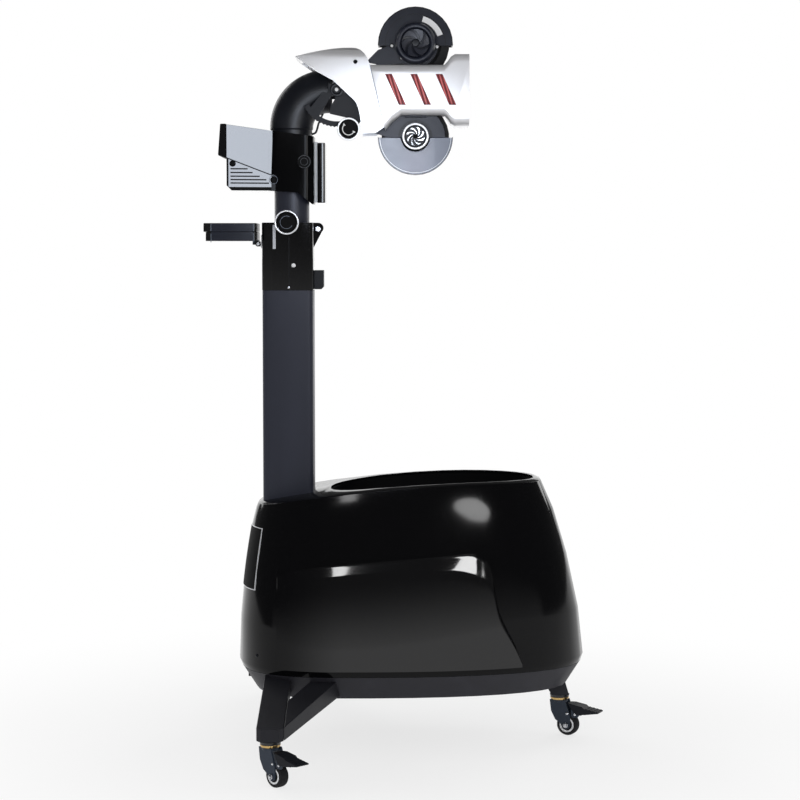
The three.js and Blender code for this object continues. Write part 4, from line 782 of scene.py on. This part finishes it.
def swept(section, centre, start, span, steps):
    """A closed section of radius and height, turned from an angle and over a span in degrees."""
    bm = bmesh.new()
    turn = Matrix.Rotation(math.radians(start), 3, "Z")
    corners = [bm.verts.new(turn @ Vector((r * MM, 0, h * MM))) for r, h in section]
    edges = [bm.edges.new(pair) for pair in zip(corners, corners[1:] + corners[:1])]
    bmesh.ops.spin(bm, geom=corners + edges, cent=(0, 0, 0), axis=UP, angle=math.radians(span),
                   steps=steps, use_merge=False)
    return turn_and_move(closed(bm), centre, TOWARDS_VIEWER)


def hose(points, radius, segments=20, steps=40):
    """A round bar on a smooth way through points."""
    way = [sample(points, i / steps) for i in range(steps + 1)]
    bm = bmesh.new()
    bmesh.ops.create_circle(bm, segments=segments, radius=radius * MM)
    heading = (way[1] - way[0]).normalized()
    turn_and_move(bm, way[0], heading)
    edges = bm.edges[:]
    for i, point in enumerate(way[1:], 1):
        after = (way[min(i + 1, steps)] - way[i - 1]).normalized()
        bend = heading.rotation_difference(after).to_matrix().to_4x4()
        move = Matrix.Translation(point) @ bend @ Matrix.Translation(-way[i - 1])
        edges = carried_on(bm, edges, move)
        heading = after
    return closed(bm)


def screw(name, body, paint, centre, radius, axis=TOWARDS_VIEWER):
    """A pan head with a socket, let a little into what it holds."""
    profile = [(0, -0.3), (0.9, -0.3), (1, 0), (1, 0.22), (0.9, 0.45), (0.62, 0.58), (0.42, 0.6),
               (0.38, 0.52), (0.36, 0.16), (0, 0.12)]
    bm = turned([(r * radius, h * radius) for r, h in profile], centre, axis, 32)
    finished(bm, name, body, paint, angle=50)


def ring(name, body, paint, centre, inner, outer, low, high, axis=TOWARDS_VIEWER):
    """A flat ring with eased edges, between two heights over a place."""
    ease = min(outer - inner, high - low) * 0.2
    section = [(inner, low), (outer, low), (outer, high - ease), (outer - ease, high),
               (inner + ease, high), (inner, high - ease), (inner, low)]
    finished(turned(section, centre, axis), name, body, paint, angle=60)


def mark(name, body, paint, centre, radius, width, start, span, low, high):
    """Part of a narrow ring facing the viewer, from an angle and over a span in degrees."""
    inner, outer = radius - width / 2, radius + width / 2
    section = [(inner, low), (outer, low), (outer, high), (inner, high)]
    steps = max(int(abs(span) / 5), 4)
    finished(swept(section, centre, start, span, steps), name, body, paint)


def vanes(name, body, paint, centre, count, inner, outer, low, high, sweep, width):
    """Curved vanes round an axis towards the viewer, narrow at the hub and wide outside."""
    bm = grid(10, 2)
    for vert in bm.verts:
        along = vert.co.x + 0.5
        radius = inner + (outer - inner) * along
        turn = math.radians(sweep * along ** 0.7 + width * vert.co.y * (0.6 + 0.4 * along))
        vert.co = Vector((math.cos(turn), math.sin(turn), 0)) * radius * MM
        vert.co.z = (high - (high - low) * 0.35 * (1 - along)) * MM
    for vert in doubled(bm):
        vert.co.z = low * MM
    faced_out(bm)
    bmesh.ops.spin(bm, geom=bm.verts[:] + bm.edges[:] + bm.faces[:], cent=(0, 0, 0), axis=UP,
                   angle=2 * math.pi * (count - 1) / count, steps=count - 1, use_duplicate=True)
    turn_and_move(bm, centre, TOWARDS_VIEWER)
    finished(bm, name, body, paint, 0.25 * MM, 50)


def body_rise(x):
    """The height of the body's deck over its seam."""
    share = (x - DECK_PEAK) / DECK_REACH
    return BODY_HEIGHT + DECK_RISE * (1 - share * share)


def body_ends(share):
    """The left end, right end and half depth of the body at a share of its height."""
    share = clamp(share)
    left, right, side = (lean * share ** power for lean, power in BODY_LEANS)
    return BODY_LEFT + left, BODY_RIGHT - right, BODY_DEPTH - side


def body_depth(x, z):
    """How far the body's side stands out at a place along and up."""
    share = clamp((z - SEAM) / body_rise(x))
    left, right, depth = body_ends(share)
    power = LEFT_POWER if x < BODY_WIDEST else mix(*RIGHT_POWERS, share)
    edge = left if x < BODY_WIDEST else right
    reach = clamp(abs((x - BODY_WIDEST) / (edge - BODY_WIDEST)))
    return depth * (1 - reach ** power) ** (1 / power)


def sloped(share, ease=0.14):
    """An even slope from 0 to 1, eased at both ends."""
    share = clamp(share)
    if share < ease:
        return share * share / (2 * ease * (1 - ease))
    if share > 1 - ease:
        return 1 - (1 - share) ** 2 / (2 * ease * (1 - ease))
    return (share - ease / 2) / (1 - ease)


def side_panel(side):
    """The raised panel on a side of the body, with a sloping band along its top."""
    tops = [Vector(pair) for pair in PANEL_TOP]
    bm = grid(120, 22)
    for vert in bm.verts:
        along, down = vert.co.x + 0.5, 0.5 - vert.co.y
        top = sample(tops, along)
        band = sample(PANEL_BAND, along) * BODY_HEIGHT
        x = mix(PANEL_LEFT, PANEL_RIGHT, top.x)
        high = max(SEAM + BODY_HEIGHT * top.y, PANEL_LOW + band + 1)
        if down < PANEL_CREST:
            z = high - band * down / PANEL_CREST
        else:
            z = mix(high - band, PANEL_LOW, (down - PANEL_CREST) / (1 - PANEL_CREST))
        fade = sloped(along / PANEL_FADE)
        proud = PANEL_PROUD[0] + PANEL_PROUD[1] * sloped((high - z) / band) * fade
        vert.co = place(x, side * (body_depth(x, z) + proud), z)
    for vert in doubled(bm):
        x, z = (vert.co.x - COLUMN_X) / MM, vert.co.z / MM
        vert.co.y = side * (body_depth(x, z) + 0.3) * MM
    return faced_out(bm)


def end_plate(inset, proud):
    """A blank plate, bent round the near part of the body's left end."""
    bm = grid(16, 12)
    (start, end), (low, high) = END_PLATE_TURN, END_PLATE_HEIGHT
    cut = inset * TURN_PER_MM
    for vert in bm.verts:
        turn = math.radians(mix(start + cut, end - cut, vert.co.x + 0.5))
        z = mix(low + inset, high - inset, vert.co.y + 0.5)
        share = 0.5
        for _ in range(8):
            left, _, depth = body_ends(share)
            along = abs(math.cos(turn)) ** (2 / LEFT_POWER)
            x = BODY_WIDEST + (BODY_WIDEST - left) * -along
            share = clamp((z - SEAM) / body_rise(x))
        y = -depth * abs(math.sin(turn)) ** (2 / LEFT_POWER)
        outwards = Vector((math.cos(turn), math.sin(turn), 0.1)).normalized()
        vert.co = place(x, y, z) + outwards * proud * MM
    bmesh.ops.translate(bm, vec=(1.2 * MM, 0.6 * MM, 0), verts=doubled(bm))
    return faced_out(bm)


def stand_in(bm, node, paint, **finish):
    """Stands a mesh in a frame node's place, on the same body."""
    piece = finished(bm, node + "_skin", frame["nodes"][node]["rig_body"], paint, **finish)
    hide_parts(node)


def refine(node, paint, edge=0.0, angle=35):
    """Stands a smoothed copy of a frame node in its place."""
    stand_in(merged_copy(node), node, paint, edge=edge, angle=angle)


def refine_all(edge, **paints):
    """Stands smoothed copies in the places of the frame nodes named, each in its paint."""
    for node, paint in paints.items():
        refine(node, paint, edge)


def turned(profile, centre, axis=TOWARDS_VIEWER, steps=64):
    """A body turned from pairs of radius and height, in millimetres, about an axis."""
    bm = bmesh.new()
    corners = [bm.verts.new((r * MM, 0, h * MM)) for r, h in profile]
    edges = [bm.edges.new(pair) for pair in zip(corners, corners[1:])]
    bmesh.ops.spin(bm, geom=corners + edges, cent=(0, 0, 0), axis=UP, angle=2 * math.pi,
                   steps=steps, use_merge=True)
    bmesh.ops.remove_doubles(bm, verts=bm.verts, dist=0.001 * MM)
    return turn_and_move(faced_out(bm), centre, axis)


# Operators

class RobotStep(bpy.types.Operator):
    """A step of making the robot"""

    bl_options = {"REGISTER", "UNDO"}


class ROBOT_OT_body(RobotStep):
    """Make the hopper body, its bowl, side panels, skirt and inlet"""

    bl_idname = "robot.body"
    bl_label = "Body"

    def execute(self, context):
        refine_all(
            context.scene.robot_sizes.edge, hopper_shell="body_gloss", hopper_bowl="deep_black",
            skirt_pan="skirt_grey", power_inlet="satin_black", feed_disc="feed_orange",
            feed_motor="steel",
        )
        refine("ball_duct", "matte_black")
        finished(end_plate(0, 0.3), "end_plate_border", "base", "rim_silver")
        finished(end_plate(1.3, 0.5), "end_plate_field", "base", "deep_black")
        for side, word in SIDES:
            stand_in(side_panel(side), word + "_side_panel", "panel_gloss", angle=60)
            for i, (x, z) in enumerate(BODY_SCREWS):
                point, direction = met("hopper_shell", x, z, side)
                screw(f"body_screw_{word}_{i}", "base", "satin_black", point, 2.4, direction)
        return {"FINISHED"}


class ROBOT_OT_undercarriage(RobotStep):
    """Make the legs, the nose post and the three casters"""

    bl_idname = "robot.undercarriage"
    bl_label = "Undercarriage"

    def execute(self, context):
        sizes = context.scene.robot_sizes
        for _, word in SIDES:
            refine(word + "_leg_beam", "frame_grey", sizes.broad_edge)
            refine(word + "_leg_brace", "frame_grey", sizes.broad_edge)
        refine("nose_post", "frame_grey", sizes.edge)
        for name, x, y, turn in CASTERS:
            refine(name + "_caster_plate", "zinc_gold", sizes.edge)
            refine(name + "_caster_fork", "fork_navy", sizes.edge)
            spin = Matrix.Rotation(math.radians(turn), 4, "Z")
            origin = Matrix.Translation(place(x, y, 0)) @ spin
            self.wheel(name, origin)
            self.pedal(name, origin, sizes.block_edge)
        return {"FINISHED"}

    def wheel(self, name, origin):
        """A tread, and on each side a white ring, the bolt through the hub and two rivets."""
        across = origin.to_3x3() @ Vector((0, 1, 0))
        hub = origin @ (Vector(CASTER_AXLE) * MM)
        half = [(3.6, -6.4), (9, -6.4), (9.3, -7.4), (12.4, -8), (15.4, -8), (16.8, -6.6),
                (17.4, -4.8), (17.5, -2.4), (17.2, -2), (17.2, -1.4), (17.5, -1)]
        tread = half + [(r, -h) for r, h in reversed(half)] + half[:1]
        stand_in(turned(tread, hub, across, 72), name + "_caster_wheel", "tyre")
        for side, word in SIDES:
            facing = across * side
            ring(f"{name}_wheel_ring_{word}", name + "_roll", "mark_white", hub, 9.2, 12.1, 6, 8.4,
                 facing)
            for part, body, point, steps, finish, profile in CASTER_FASTENERS:
                bm = turned(profile, origin @ (Vector(point) * MM), facing, steps)
                finished(bm, f"{name}_{part}_{word}", f"{name}_{body}", "steel", **finish)

    def pedal(self, name, origin, edge):
        """A wedge with a ribbed foot rest, held between two side plates."""
        brake = name + "_brake"
        wedge = bar(PEDAL, -PEDAL_HALF, PEDAL_HALF)
        for vert in wedge.verts:
            if vert.co.x < PEDAL_NECK * MM:
                vert.co.y *= PEDAL_NECK_HALF / PEDAL_HALF
        stand_in(moved(wedge, origin), name + "_caster_pedal", "matte_black", edge=edge)
        for word, low, high in (("near", -10.2, -8.4), ("far", 8.4, 10.2)):
            cheek = moved(bar(PEDAL_CHEEK, low, high), origin)
            finished(cheek, f"{name}_pedal_cheek_{word}", brake, "fork_navy", 0.4 * MM)
        for i in range(4):
            x, half = 49 + 6 * i, 1.1
            top = 46.5 - (x - 46) / 6
            outline = ((x - half, top - 1), (x + half, top - 1.3), (x + half, top + 0.5),
                       (x - half, top + 0.8))
            raised_line = moved(bar(outline, -11, 11), origin)
            finished(raised_line, f"{name}_pedal_rib_{i}", brake, "matte_black", 0.4 * MM)


class ROBOT_OT_column(RobotStep):
    """Make the column, the collar with its lug and block, the lock knob and the tray"""

    bl_idname = "robot.column"
    bl_label = "Column"

    def execute(self, context):
        sizes = context.scene.robot_sizes
        refine("column", "column_slate", sizes.edge)
        refine_all(sizes.block_edge, collar="gloss_black", side_block="matte_black")
        refine_all(sizes.fine_edge, lug_pin="steel", tray_bracket="steel")
        refine_all(sizes.broad_edge, tray_lower="tray_navy", tray_upper="tray_navy")
        # Painted highlight: thin pale strips where the tray's rounded corners catch the light
        for name, low, high in TRAY_LEVELS:
            for word, x in zip(("left", "right"), TRAY_CORNER_LINES):
                raised_line = plate(rectangle(x - 0.6, x + 0.6, low + 1.4, high - 1.4), -46.3, -45.5)
                finished(raised_line, f"tray_rib_{name}_{word}", "tray", "mark_and_highlight_blue")
        self.collar_details(sizes.thin_edge)
        self.lock_knob()
        return {"FINISHED"}

    def collar_details(self, edge):
        """A pale strip of painted highlight, the parting line and two screws on the collar's near
        face.
        """
        # Painted highlight: a pale strip where the collar's rounded corner reflects the light
        strip = plate(rectangle(-22.9, -18.2, 780, 817.6), -40.7, -40)
        finished(strip, "collar_painted_highlight", "base", "painted_highlight_grey", edge)
        seam = plate(rectangle(2.2, 2.8, 724, 800), -40.55, -40)
        finished(seam, "collar_seam", "base", "satin_black")
        for name, paint, x, z, radius in COLLAR_SCREWS:
            screw("collar_screw_" + name, "base", paint, place(x, -40.4, z), radius)

    def lock_knob(self):
        """A round knob with a silver rim and a thin mark on its face."""
        centre = place(0, 0, LOCK_KNOB_HEIGHT)
        profile = [(0, 28.3), (5, 28.3), (5, 46.8), (17.2, 46.8), (17.9, 47.6), (18.9, 58),
                   (18.4, 59.6), (16.8, 60.2), (15.4, 60.4), (14.6, 62.6), (13.6, 63.6), (0, 63.6)]
        stand_in(turned(profile, centre, steps=96), "lock_knob", "deep_black", angle=40)
        ring("lock_knob_rim", "lock", "rim_silver", centre, 16.5, 19, 57.6, 61)
        mark("lock_knob_mark", "lock", "mark_and_highlight_blue", centre, 9.8, 0.8, 60, 270, 63.4, 63.9)


class ROBOT_OT_console(RobotStep):
    """Make the neck and the control box with its dial, strip and rear plate"""

    bl_idname = "robot.console"
    bl_label = "Control box"

    def execute(self, context):
        sizes = context.scene.robot_sizes
        refine_all(sizes.edge, neck_tube="column_slate", control_housing="housing_black",
                   control_dial="deep_black")
        refine_all(sizes.thin_edge, control_cover="gloss_black", light_strip="strip_pale")
        refine("control_panel", "deep_black", sizes.panel_edge)
        refine("rear_plate", "gloss_black", sizes.block_edge)
        for side, word in SIDES:
            self.side_details(side, word)
        centre = place(*DIAL)
        mark("dial_ring_outer", "dial", "dial_grey", centre, 9.7, 0.6, -140, 300, -0.2, 0.2)
        mark("dial_ring_inner", "dial", "dial_grey", centre, 5.6, 0.5, 0, 355, -0.2, 0.2)
        return {"FINISHED"}

    def side_details(self, side, word):
        """The cover's return beside the neck, the vent with its bars, and two domed caps."""
        for name, paint, slope, proud, outline in CONSOLE_PLATES:
            self.side_plate(f"{name}_{word}", paint, outline, side, slope, proud)
        for i, (right, z) in enumerate(LOUVRES):
            outline = rectangle(LOUVRE_LEFT, right, z - 1, z + 1)
            self.side_plate(f"louvre_{word}_{i}", "deep_black", outline, side, HOUSING_SIDE, 0.6)
        facing = Vector((0.196, side * 0.98, 0))
        for name, x, y, z in CAPS:
            where = place(x, side * y, z)
            cap = [(0, -1), (5, -1), (5, 0.8), (4.4, 1.7), (2.6, 2.3), (0, 2.5)]
            finished(turned(cap, where, facing), f"cap_{name}_{word}", "neck", "deep_black")
        ring(f"cap_ring_{word}", "neck", "mark_and_highlight_blue", where, 6.2, 6.9, -1, 0.9, facing)

    def side_plate(self, name, paint, outline, side, slope, proud):
        """A thin plate on a side of the box, which narrows towards the neck."""
        bm = plate(outline, 0, 1.5)
        for vert in bm.verts:
            along = (vert.co.x - COLUMN_X) / MM - CONSOLE_LEFT
            depth = slope[0] - slope[1] * along + proud
            vert.co.y = side * (depth * MM - vert.co.y)
        finished(faced_out(bm), name, "neck", paint)


class ROBOT_OT_elbow(RobotStep):
    """Make the elbow, its tilt bracket, the pin and the cable"""

    bl_idname = "robot.elbow"
    bl_label = "Elbow"

    def execute(self, context):
        sizes = context.scene.robot_sizes
        stand_in(self.bend(), "elbow", "satin_black", wall=ELBOW_WALL * MM, edge=sizes.edge)
        refine_all(sizes.fine_edge, tilt_bracket="matte_black", tilt_pin="matte_black")
        route = [place(*point) for point in CABLE_ROUTE]
        stand_in(hose(route, CABLE_RADIUS), "tilt_cable", "satin_black")
        x, y, z = TILT_PIN
        ring("tilt_boss", "elbow", "satin_black", place(x, y, z), 6, 10.7, 39.8, 41.6)
        screw("tilt_screw", "elbow", "mark_white", place(x, -43.2, z), 2.9)
        return {"FINISHED"}

    def bend(self):
        """A straight leg that steps out to a collar and turns over to the head."""
        bm = bmesh.new()
        middle = place(NECK_X, 0, 0)
        wider = ELBOW_OUT / ELBOW_LEG
        grow = Matrix.Translation(middle) @ Matrix.Diagonal((wider, wider, 1, 1))
        grow = grow @ Matrix.Translation(-middle)
        leg = ELBOW_TURN - ELBOW_STEP - ELBOW_COLLAR - ELBOW_LOW
        bmesh.ops.create_circle(bm, segments=64, radius=ELBOW_LEG * MM)
        bmesh.ops.translate(bm, vec=place(NECK_X, 0, ELBOW_LOW), verts=bm.verts)
        edges = carried_on(bm, bm.edges[:], Matrix.Translation(UP * leg * MM))
        edges = carried_on(bm, edges, Matrix.Translation(UP * ELBOW_STEP * MM) @ grow)
        edges = carried_on(bm, edges, Matrix.Translation(UP * ELBOW_COLLAR * MM))
        rim = list({vert for edge in edges for vert in edge.verts})
        made = bmesh.ops.spin(
            bm, geom=rim + edges, cent=place(NECK_X + ELBOW_BEND, 0, ELBOW_TURN), axis=(0, 1, 0),
            angle=math.pi / 2, steps=32, use_merge=False)
        edges = [item for item in made["geom_last"] if isinstance(item, bmesh.types.BMEdge)]
        carried_on(bm, edges, Matrix.Translation((ELBOW_MOUTH * MM, 0, 0)))
        return faced_out(bm)


class ROBOT_OT_head(RobotStep):
    """Make the head's frame, shells, slot inserts, hood and tilt knob"""

    bl_idname = "robot.head"
    bl_label = "Head"

    def execute(self, context):
        sizes = context.scene.robot_sizes
        refine_all(sizes.fine_edge, head_frame="matte_black", near_slot_insert="slot_red",
                   far_slot_insert="slot_red")
        for _, word in SIDES:
            refine(word + "_head_shell", "shell_silver", sizes.edge, 50)
        refine("hood", "hood_silver", sizes.edge, 50)
        screw("hood_screw", "head", "deep_black", place(107.4, -47, 1070.8), 3.3)
        finished(plate(HEAD_INSIDE, -35, -32), "head_inside", "head", "matte_black")
        for word, near, far in (("near", -47.5, -46), ("far", 46, 47.5)):
            finished(plate(HOOD_SEAM, near, far), "hood_seam_" + word, "head", "mark_and_highlight_blue")
        self.tilt_knob()
        return {"FINISHED"}

    def tilt_knob(self):
        """A round knob with a silver rim and a curved mark, wider at both ends, on its face."""
        x, z = TILT_KNOB
        centre = place(x, 0, z)
        profile = [(0, 31.5), (3, 31.5), (3, 35.4), (6.2, 35.4), (6.2, 47.6), (15.6, 47.6),
                   (16.6, 48.6), (17.4, 58.4), (17, 60.2), (15.2, 60.6), (14.8, 61.2), (0, 61.6)]
        stand_in(turned(profile, centre, steps=96), "tilt_knob", "deep_black", angle=40)
        ring("tilt_knob_rim", "tilt_drive", "rim_silver", centre, 15, 17.7, 58, 61.8)
        for name, width, start, span in (("mark", 1.2, 135, 198), ("start", 4, 130, 10),
                                         ("end", 4, 328, 10)):
            mark("tilt_knob_" + name, "tilt_drive", "mark_white", centre, 9.3, width, start, span,
                 61.2, 61.8)


class ROBOT_OT_wheels(RobotStep):
    """Make the throwing wheels with their motors, guards and brackets"""

    bl_idname = "robot.wheels"
    bl_label = "Throwing wheels"

    def execute(self, context):
        refine_all(
            context.scene.robot_sizes.edge, upper_wheel="wheel_rubber", upper_bracket="guard_blue",
            lower_wheel="wheel_rubber", lower_bracket="guard_blue", upper_guard="guard_blue",
            lower_guard="guard_frosted",
        )
        self.upper_motor()
        self.lower_motor()
        return {"FINISHED"}

    def upper_motor(self):
        """A black fan cap on a disc with three screws, and a blank label on the guard."""
        centre = place(WHEEL_X, 0, UPPER_Z)
        profile = [(0, -5), (3, -5), (3, 21), (27.5, 21), (27.5, 31.4), (32, 31.4), (32, 36),
                   (31.2, 39.5), (29.4, 45.4), (28.6, 46.7), (27.6, 47), (24.8, 47), (23.6, 46.2),
                   (22.8, 40.6), (21.4, 39.6), (0, 38.9)]
        stand_in(turned(profile, centre, steps=96), "upper_motor", "guard_blue")
        vanes("upper_fan", "head", "fan_grey", centre, 6, 4.5, 21.6, 38.5, 44.6, 80, 44)
        hub = [(0, 38.5), (6.4, 38.5), (6.2, 43.2), (5, 44.6), (0, 45.2)]
        finished(turned(hub, centre), "upper_fan_hub", "head", "satin_black")
        mark("guard_label", "head", "mark_white", centre, 41.1, 8.8, 20, 54, 16.9, 17.5)
        for name, radius in (("inner", 47.4), ("outer", 57.6)):
            mark(f"guard_{name}_line", "head", "matte_black", centre, radius, 0.9, -1, 182, 16.9,
                 17.4)
        for i, (x, z) in enumerate(FAN_SCREWS):
            point = place(x, -20.6, z)
            screw(f"fan_screw_{i}", "head", "mark_white", point, 2.3)
            ring(f"fan_screw_ring_{i}", "head", "matte_black", point, 2.4, 4, -0.2, 0.8)

    def lower_motor(self):
        """A small fan cap with a silver ring and bright vanes in it, and the guard's lines, one of
        them a pale painted highlight along its rim.
        """
        centre = place(WHEEL_X, 0, LOWER_Z)
        profile = [(0, -5), (3, -5), (3, 17.3), (20.6, 17.3), (20.6, 42.6), (17, 42.6),
                   (15.6, 42.2), (14.9, 38.8), (0, 38)]
        stand_in(turned(profile, centre, steps=96), "lower_motor", "satin_black")
        ring("lower_fan_ring", "head", "rim_silver", centre, 17.4, 20.7, 40, 43.4)
        vanes("lower_fan", "head", "steel", centre, 8, 3, 14.2, 37.8, 42.4, 75, 17)
        hub = [(0, 37.6), (3.6, 37.6), (3.4, 41.2), (2.6, 42.2), (0, 42.6)]
        finished(turned(hub, centre), "lower_fan_hub", "head", "deep_black")
        mark("lower_collar", "head", "satin_black", centre, 25.2, 3.4, 0, 180, 16.7, 19.4)
        # Painted highlight: a pale line along the guard's rim
        mark("lower_guard_rim_highlight", "head", "strip_pale", centre, 56, 0.8, 180, 180, 16.7, 17.4)
        mark("lower_guard_edge", "head", "satin_black", centre, 58.6, 0.8, 180, 180, 16.7, 17.3)


class ROBOT_OT_stage(RobotStep):
    """Make the pale floor, the soft lights and the camera"""

    bl_idname = "robot.stage"
    bl_label = "Stage"

    def execute(self, context):
        self.floor()
        self.low_card()
        context.scene.world = self.world()
        for softbox in SOFTBOXES:
            self.lamp(softbox)
        context.scene.camera = self.camera()
        context.scene.view_settings.view_transform = "Standard"
        return {"FINISHED"}

    def floor(self):
        """A sheet of paper, lit near the object and as white as the background further out."""
        paint = Paint("floor_paper", (0.88, 0.88, 0.88), 0.9)
        paint.tint(paint.noise(3, 2) * 0.04, (0.8, 0.8, 0.8))
        x, y, _ = paint.axes()
        far = (x * x + y * y).root().between(0.3, 1.1)
        share = (FLOOR_GLOW + far * (1 - FLOOR_GLOW)) * seen_directly(paint)
        paint.glow(share, paint.shader)
        in_mesh("floor", grid(1, 1, 20), paint)

    def low_card(self):
        """A white card in front that only reflections show, and that fades out upwards."""
        middle = Matrix.Translation((0, -CARD_AWAY, CARD_HEIGHT / 2))
        size = Matrix.Diagonal((CARD_WIDTH, CARD_HEIGHT / 2, 1, 1))
        sheet = moved(grid(1, 1, 1), middle @ Matrix.Rotation(math.pi / 2, 4, "X") @ size)
        paint = Paint("card_paper", (0, 0, 0), 1.0)
        x, _, z = paint.axes()
        level = (1 - z.between(0.0, CARD_HEIGHT)) * (1 - x.size().between(4.0, CARD_WIDTH))
        paint.glow(level, paint.node("ShaderNodeBsdfTransparent"))
        card = in_mesh("low_card", sheet, paint)
        card.visible_camera = False
        card.visible_diffuse = False
        card.visible_transmission = False
        card.visible_shadow = False

    def world(self):
        """White for the camera, dimmer for diffuse light and for reflections from high up."""
        world = bpy.data.worlds.new("studio")
        world.use_nodes = True
        nodes = Nodes(world.node_tree)
        direction = nodes.node("ShaderNodeTexCoord").outputs["Generated"]
        split = nodes.node("ShaderNodeSeparateXYZ", None, {"Vector": direction})
        height = Level(nodes, split.outputs["Z"])
        path = nodes.node("ShaderNodeLightPath")
        camera = Level(nodes, path.outputs["Is Camera Ray"])
        seen = seen_directly(nodes)
        glossy = 1 - height.between(-0.05, 0.0) * (1 - HIGH_REFLECTION)
        level = camera + (1 - camera) * (seen * glossy + (1 - seen) * AMBIENT)
        background = world.node_tree.nodes["Background"]
        background.inputs["Color"].default_value = (1, 1, 1, 1)
        world.node_tree.links.new(level.socket, background.inputs["Strength"])
        return world

    def lamp(self, softbox):
        """A softbox that lights the object, is mirrored in its gloss, or both."""
        lamp = bpy.data.lights.new(softbox.name, "AREA")
        lamp.shape = softbox.shape
        lamp.color = softbox.colour
        lamp.size, lamp.size_y = width, height = softbox.size
        lamp.energy = softbox.radiance * math.pi * width * height
        holder = in_scene(softbox.name, lamp)
        holder.location = softbox.where
        holder.visible_camera = False
        holder.visible_glossy = softbox.seen != "scattered"
        holder.visible_diffuse = softbox.seen != "mirrored"
        roll = Matrix.Rotation(math.radians(softbox.roll), 3, "Z")
        heading = Vector(softbox.aim) - Vector(softbox.where)
        holder.rotation_euler = (facing_along(heading).to_matrix() @ roll).to_euler()

    def camera(self):
        """A long lens at chest height, pitched down a little so that it needs no shift."""
        lens = bpy.data.cameras.new("camera")
        lens.lens = LENS
        lens.sensor_width = 36
        lens.clip_start, lens.clip_end = 0.1, 60
        holder = in_scene("camera", lens)
        holder.location = (VIEW_X, -VIEW_AWAY, VIEW_HEIGHT)
        heading = Vector((VIEW_X, 0, AIM_HEIGHT)) - holder.location
        holder.rotation_euler = facing_along(heading).to_euler()
        return holder


STEPS = (
    ROBOT_OT_body,
    ROBOT_OT_undercarriage,
    ROBOT_OT_column,
    ROBOT_OT_console,
    ROBOT_OT_elbow,
    ROBOT_OT_head,
    ROBOT_OT_wheels,
    ROBOT_OT_stage,
)


class ROBOT_PT_panel(bpy.types.Panel):
    """Lists the robot's sizes, colours and making steps"""

    bl_idname = "ROBOT_PT_panel"
    bl_label = "Table Tennis Robot"
    bl_space_type = "VIEW_3D"
    bl_region_type = "UI"
    bl_category = "Robot"

    def draw(self, context):
        for group in (context.scene.robot_sizes, context.scene.robot_colours):
            box = self.layout.box()
            for key in group.__annotations__:
                box.prop(group, key)
        for step in STEPS:
            self.layout.operator(step.bl_idname)


CLASSES = (RobotSizes, RobotColours, *STEPS, ROBOT_PT_panel)


def register():
    for made in CLASSES:
        bpy.utils.register_class(made)
    bpy.types.Scene.robot_sizes = bpy.props.PointerProperty(type=RobotSizes)
    bpy.types.Scene.robot_colours = bpy.props.PointerProperty(type=RobotColours)


def unregister():
    del bpy.types.Scene.robot_colours
    del bpy.types.Scene.robot_sizes
    for made in reversed(CLASSES):
        bpy.utils.unregister_class(made)


def main():
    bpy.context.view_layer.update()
    register()
    mix_paints()
    for step in STEPS:
        getattr(bpy.ops.robot, step.bl_idname.split(".")[1])()


if __name__ == "__main__":
    main()
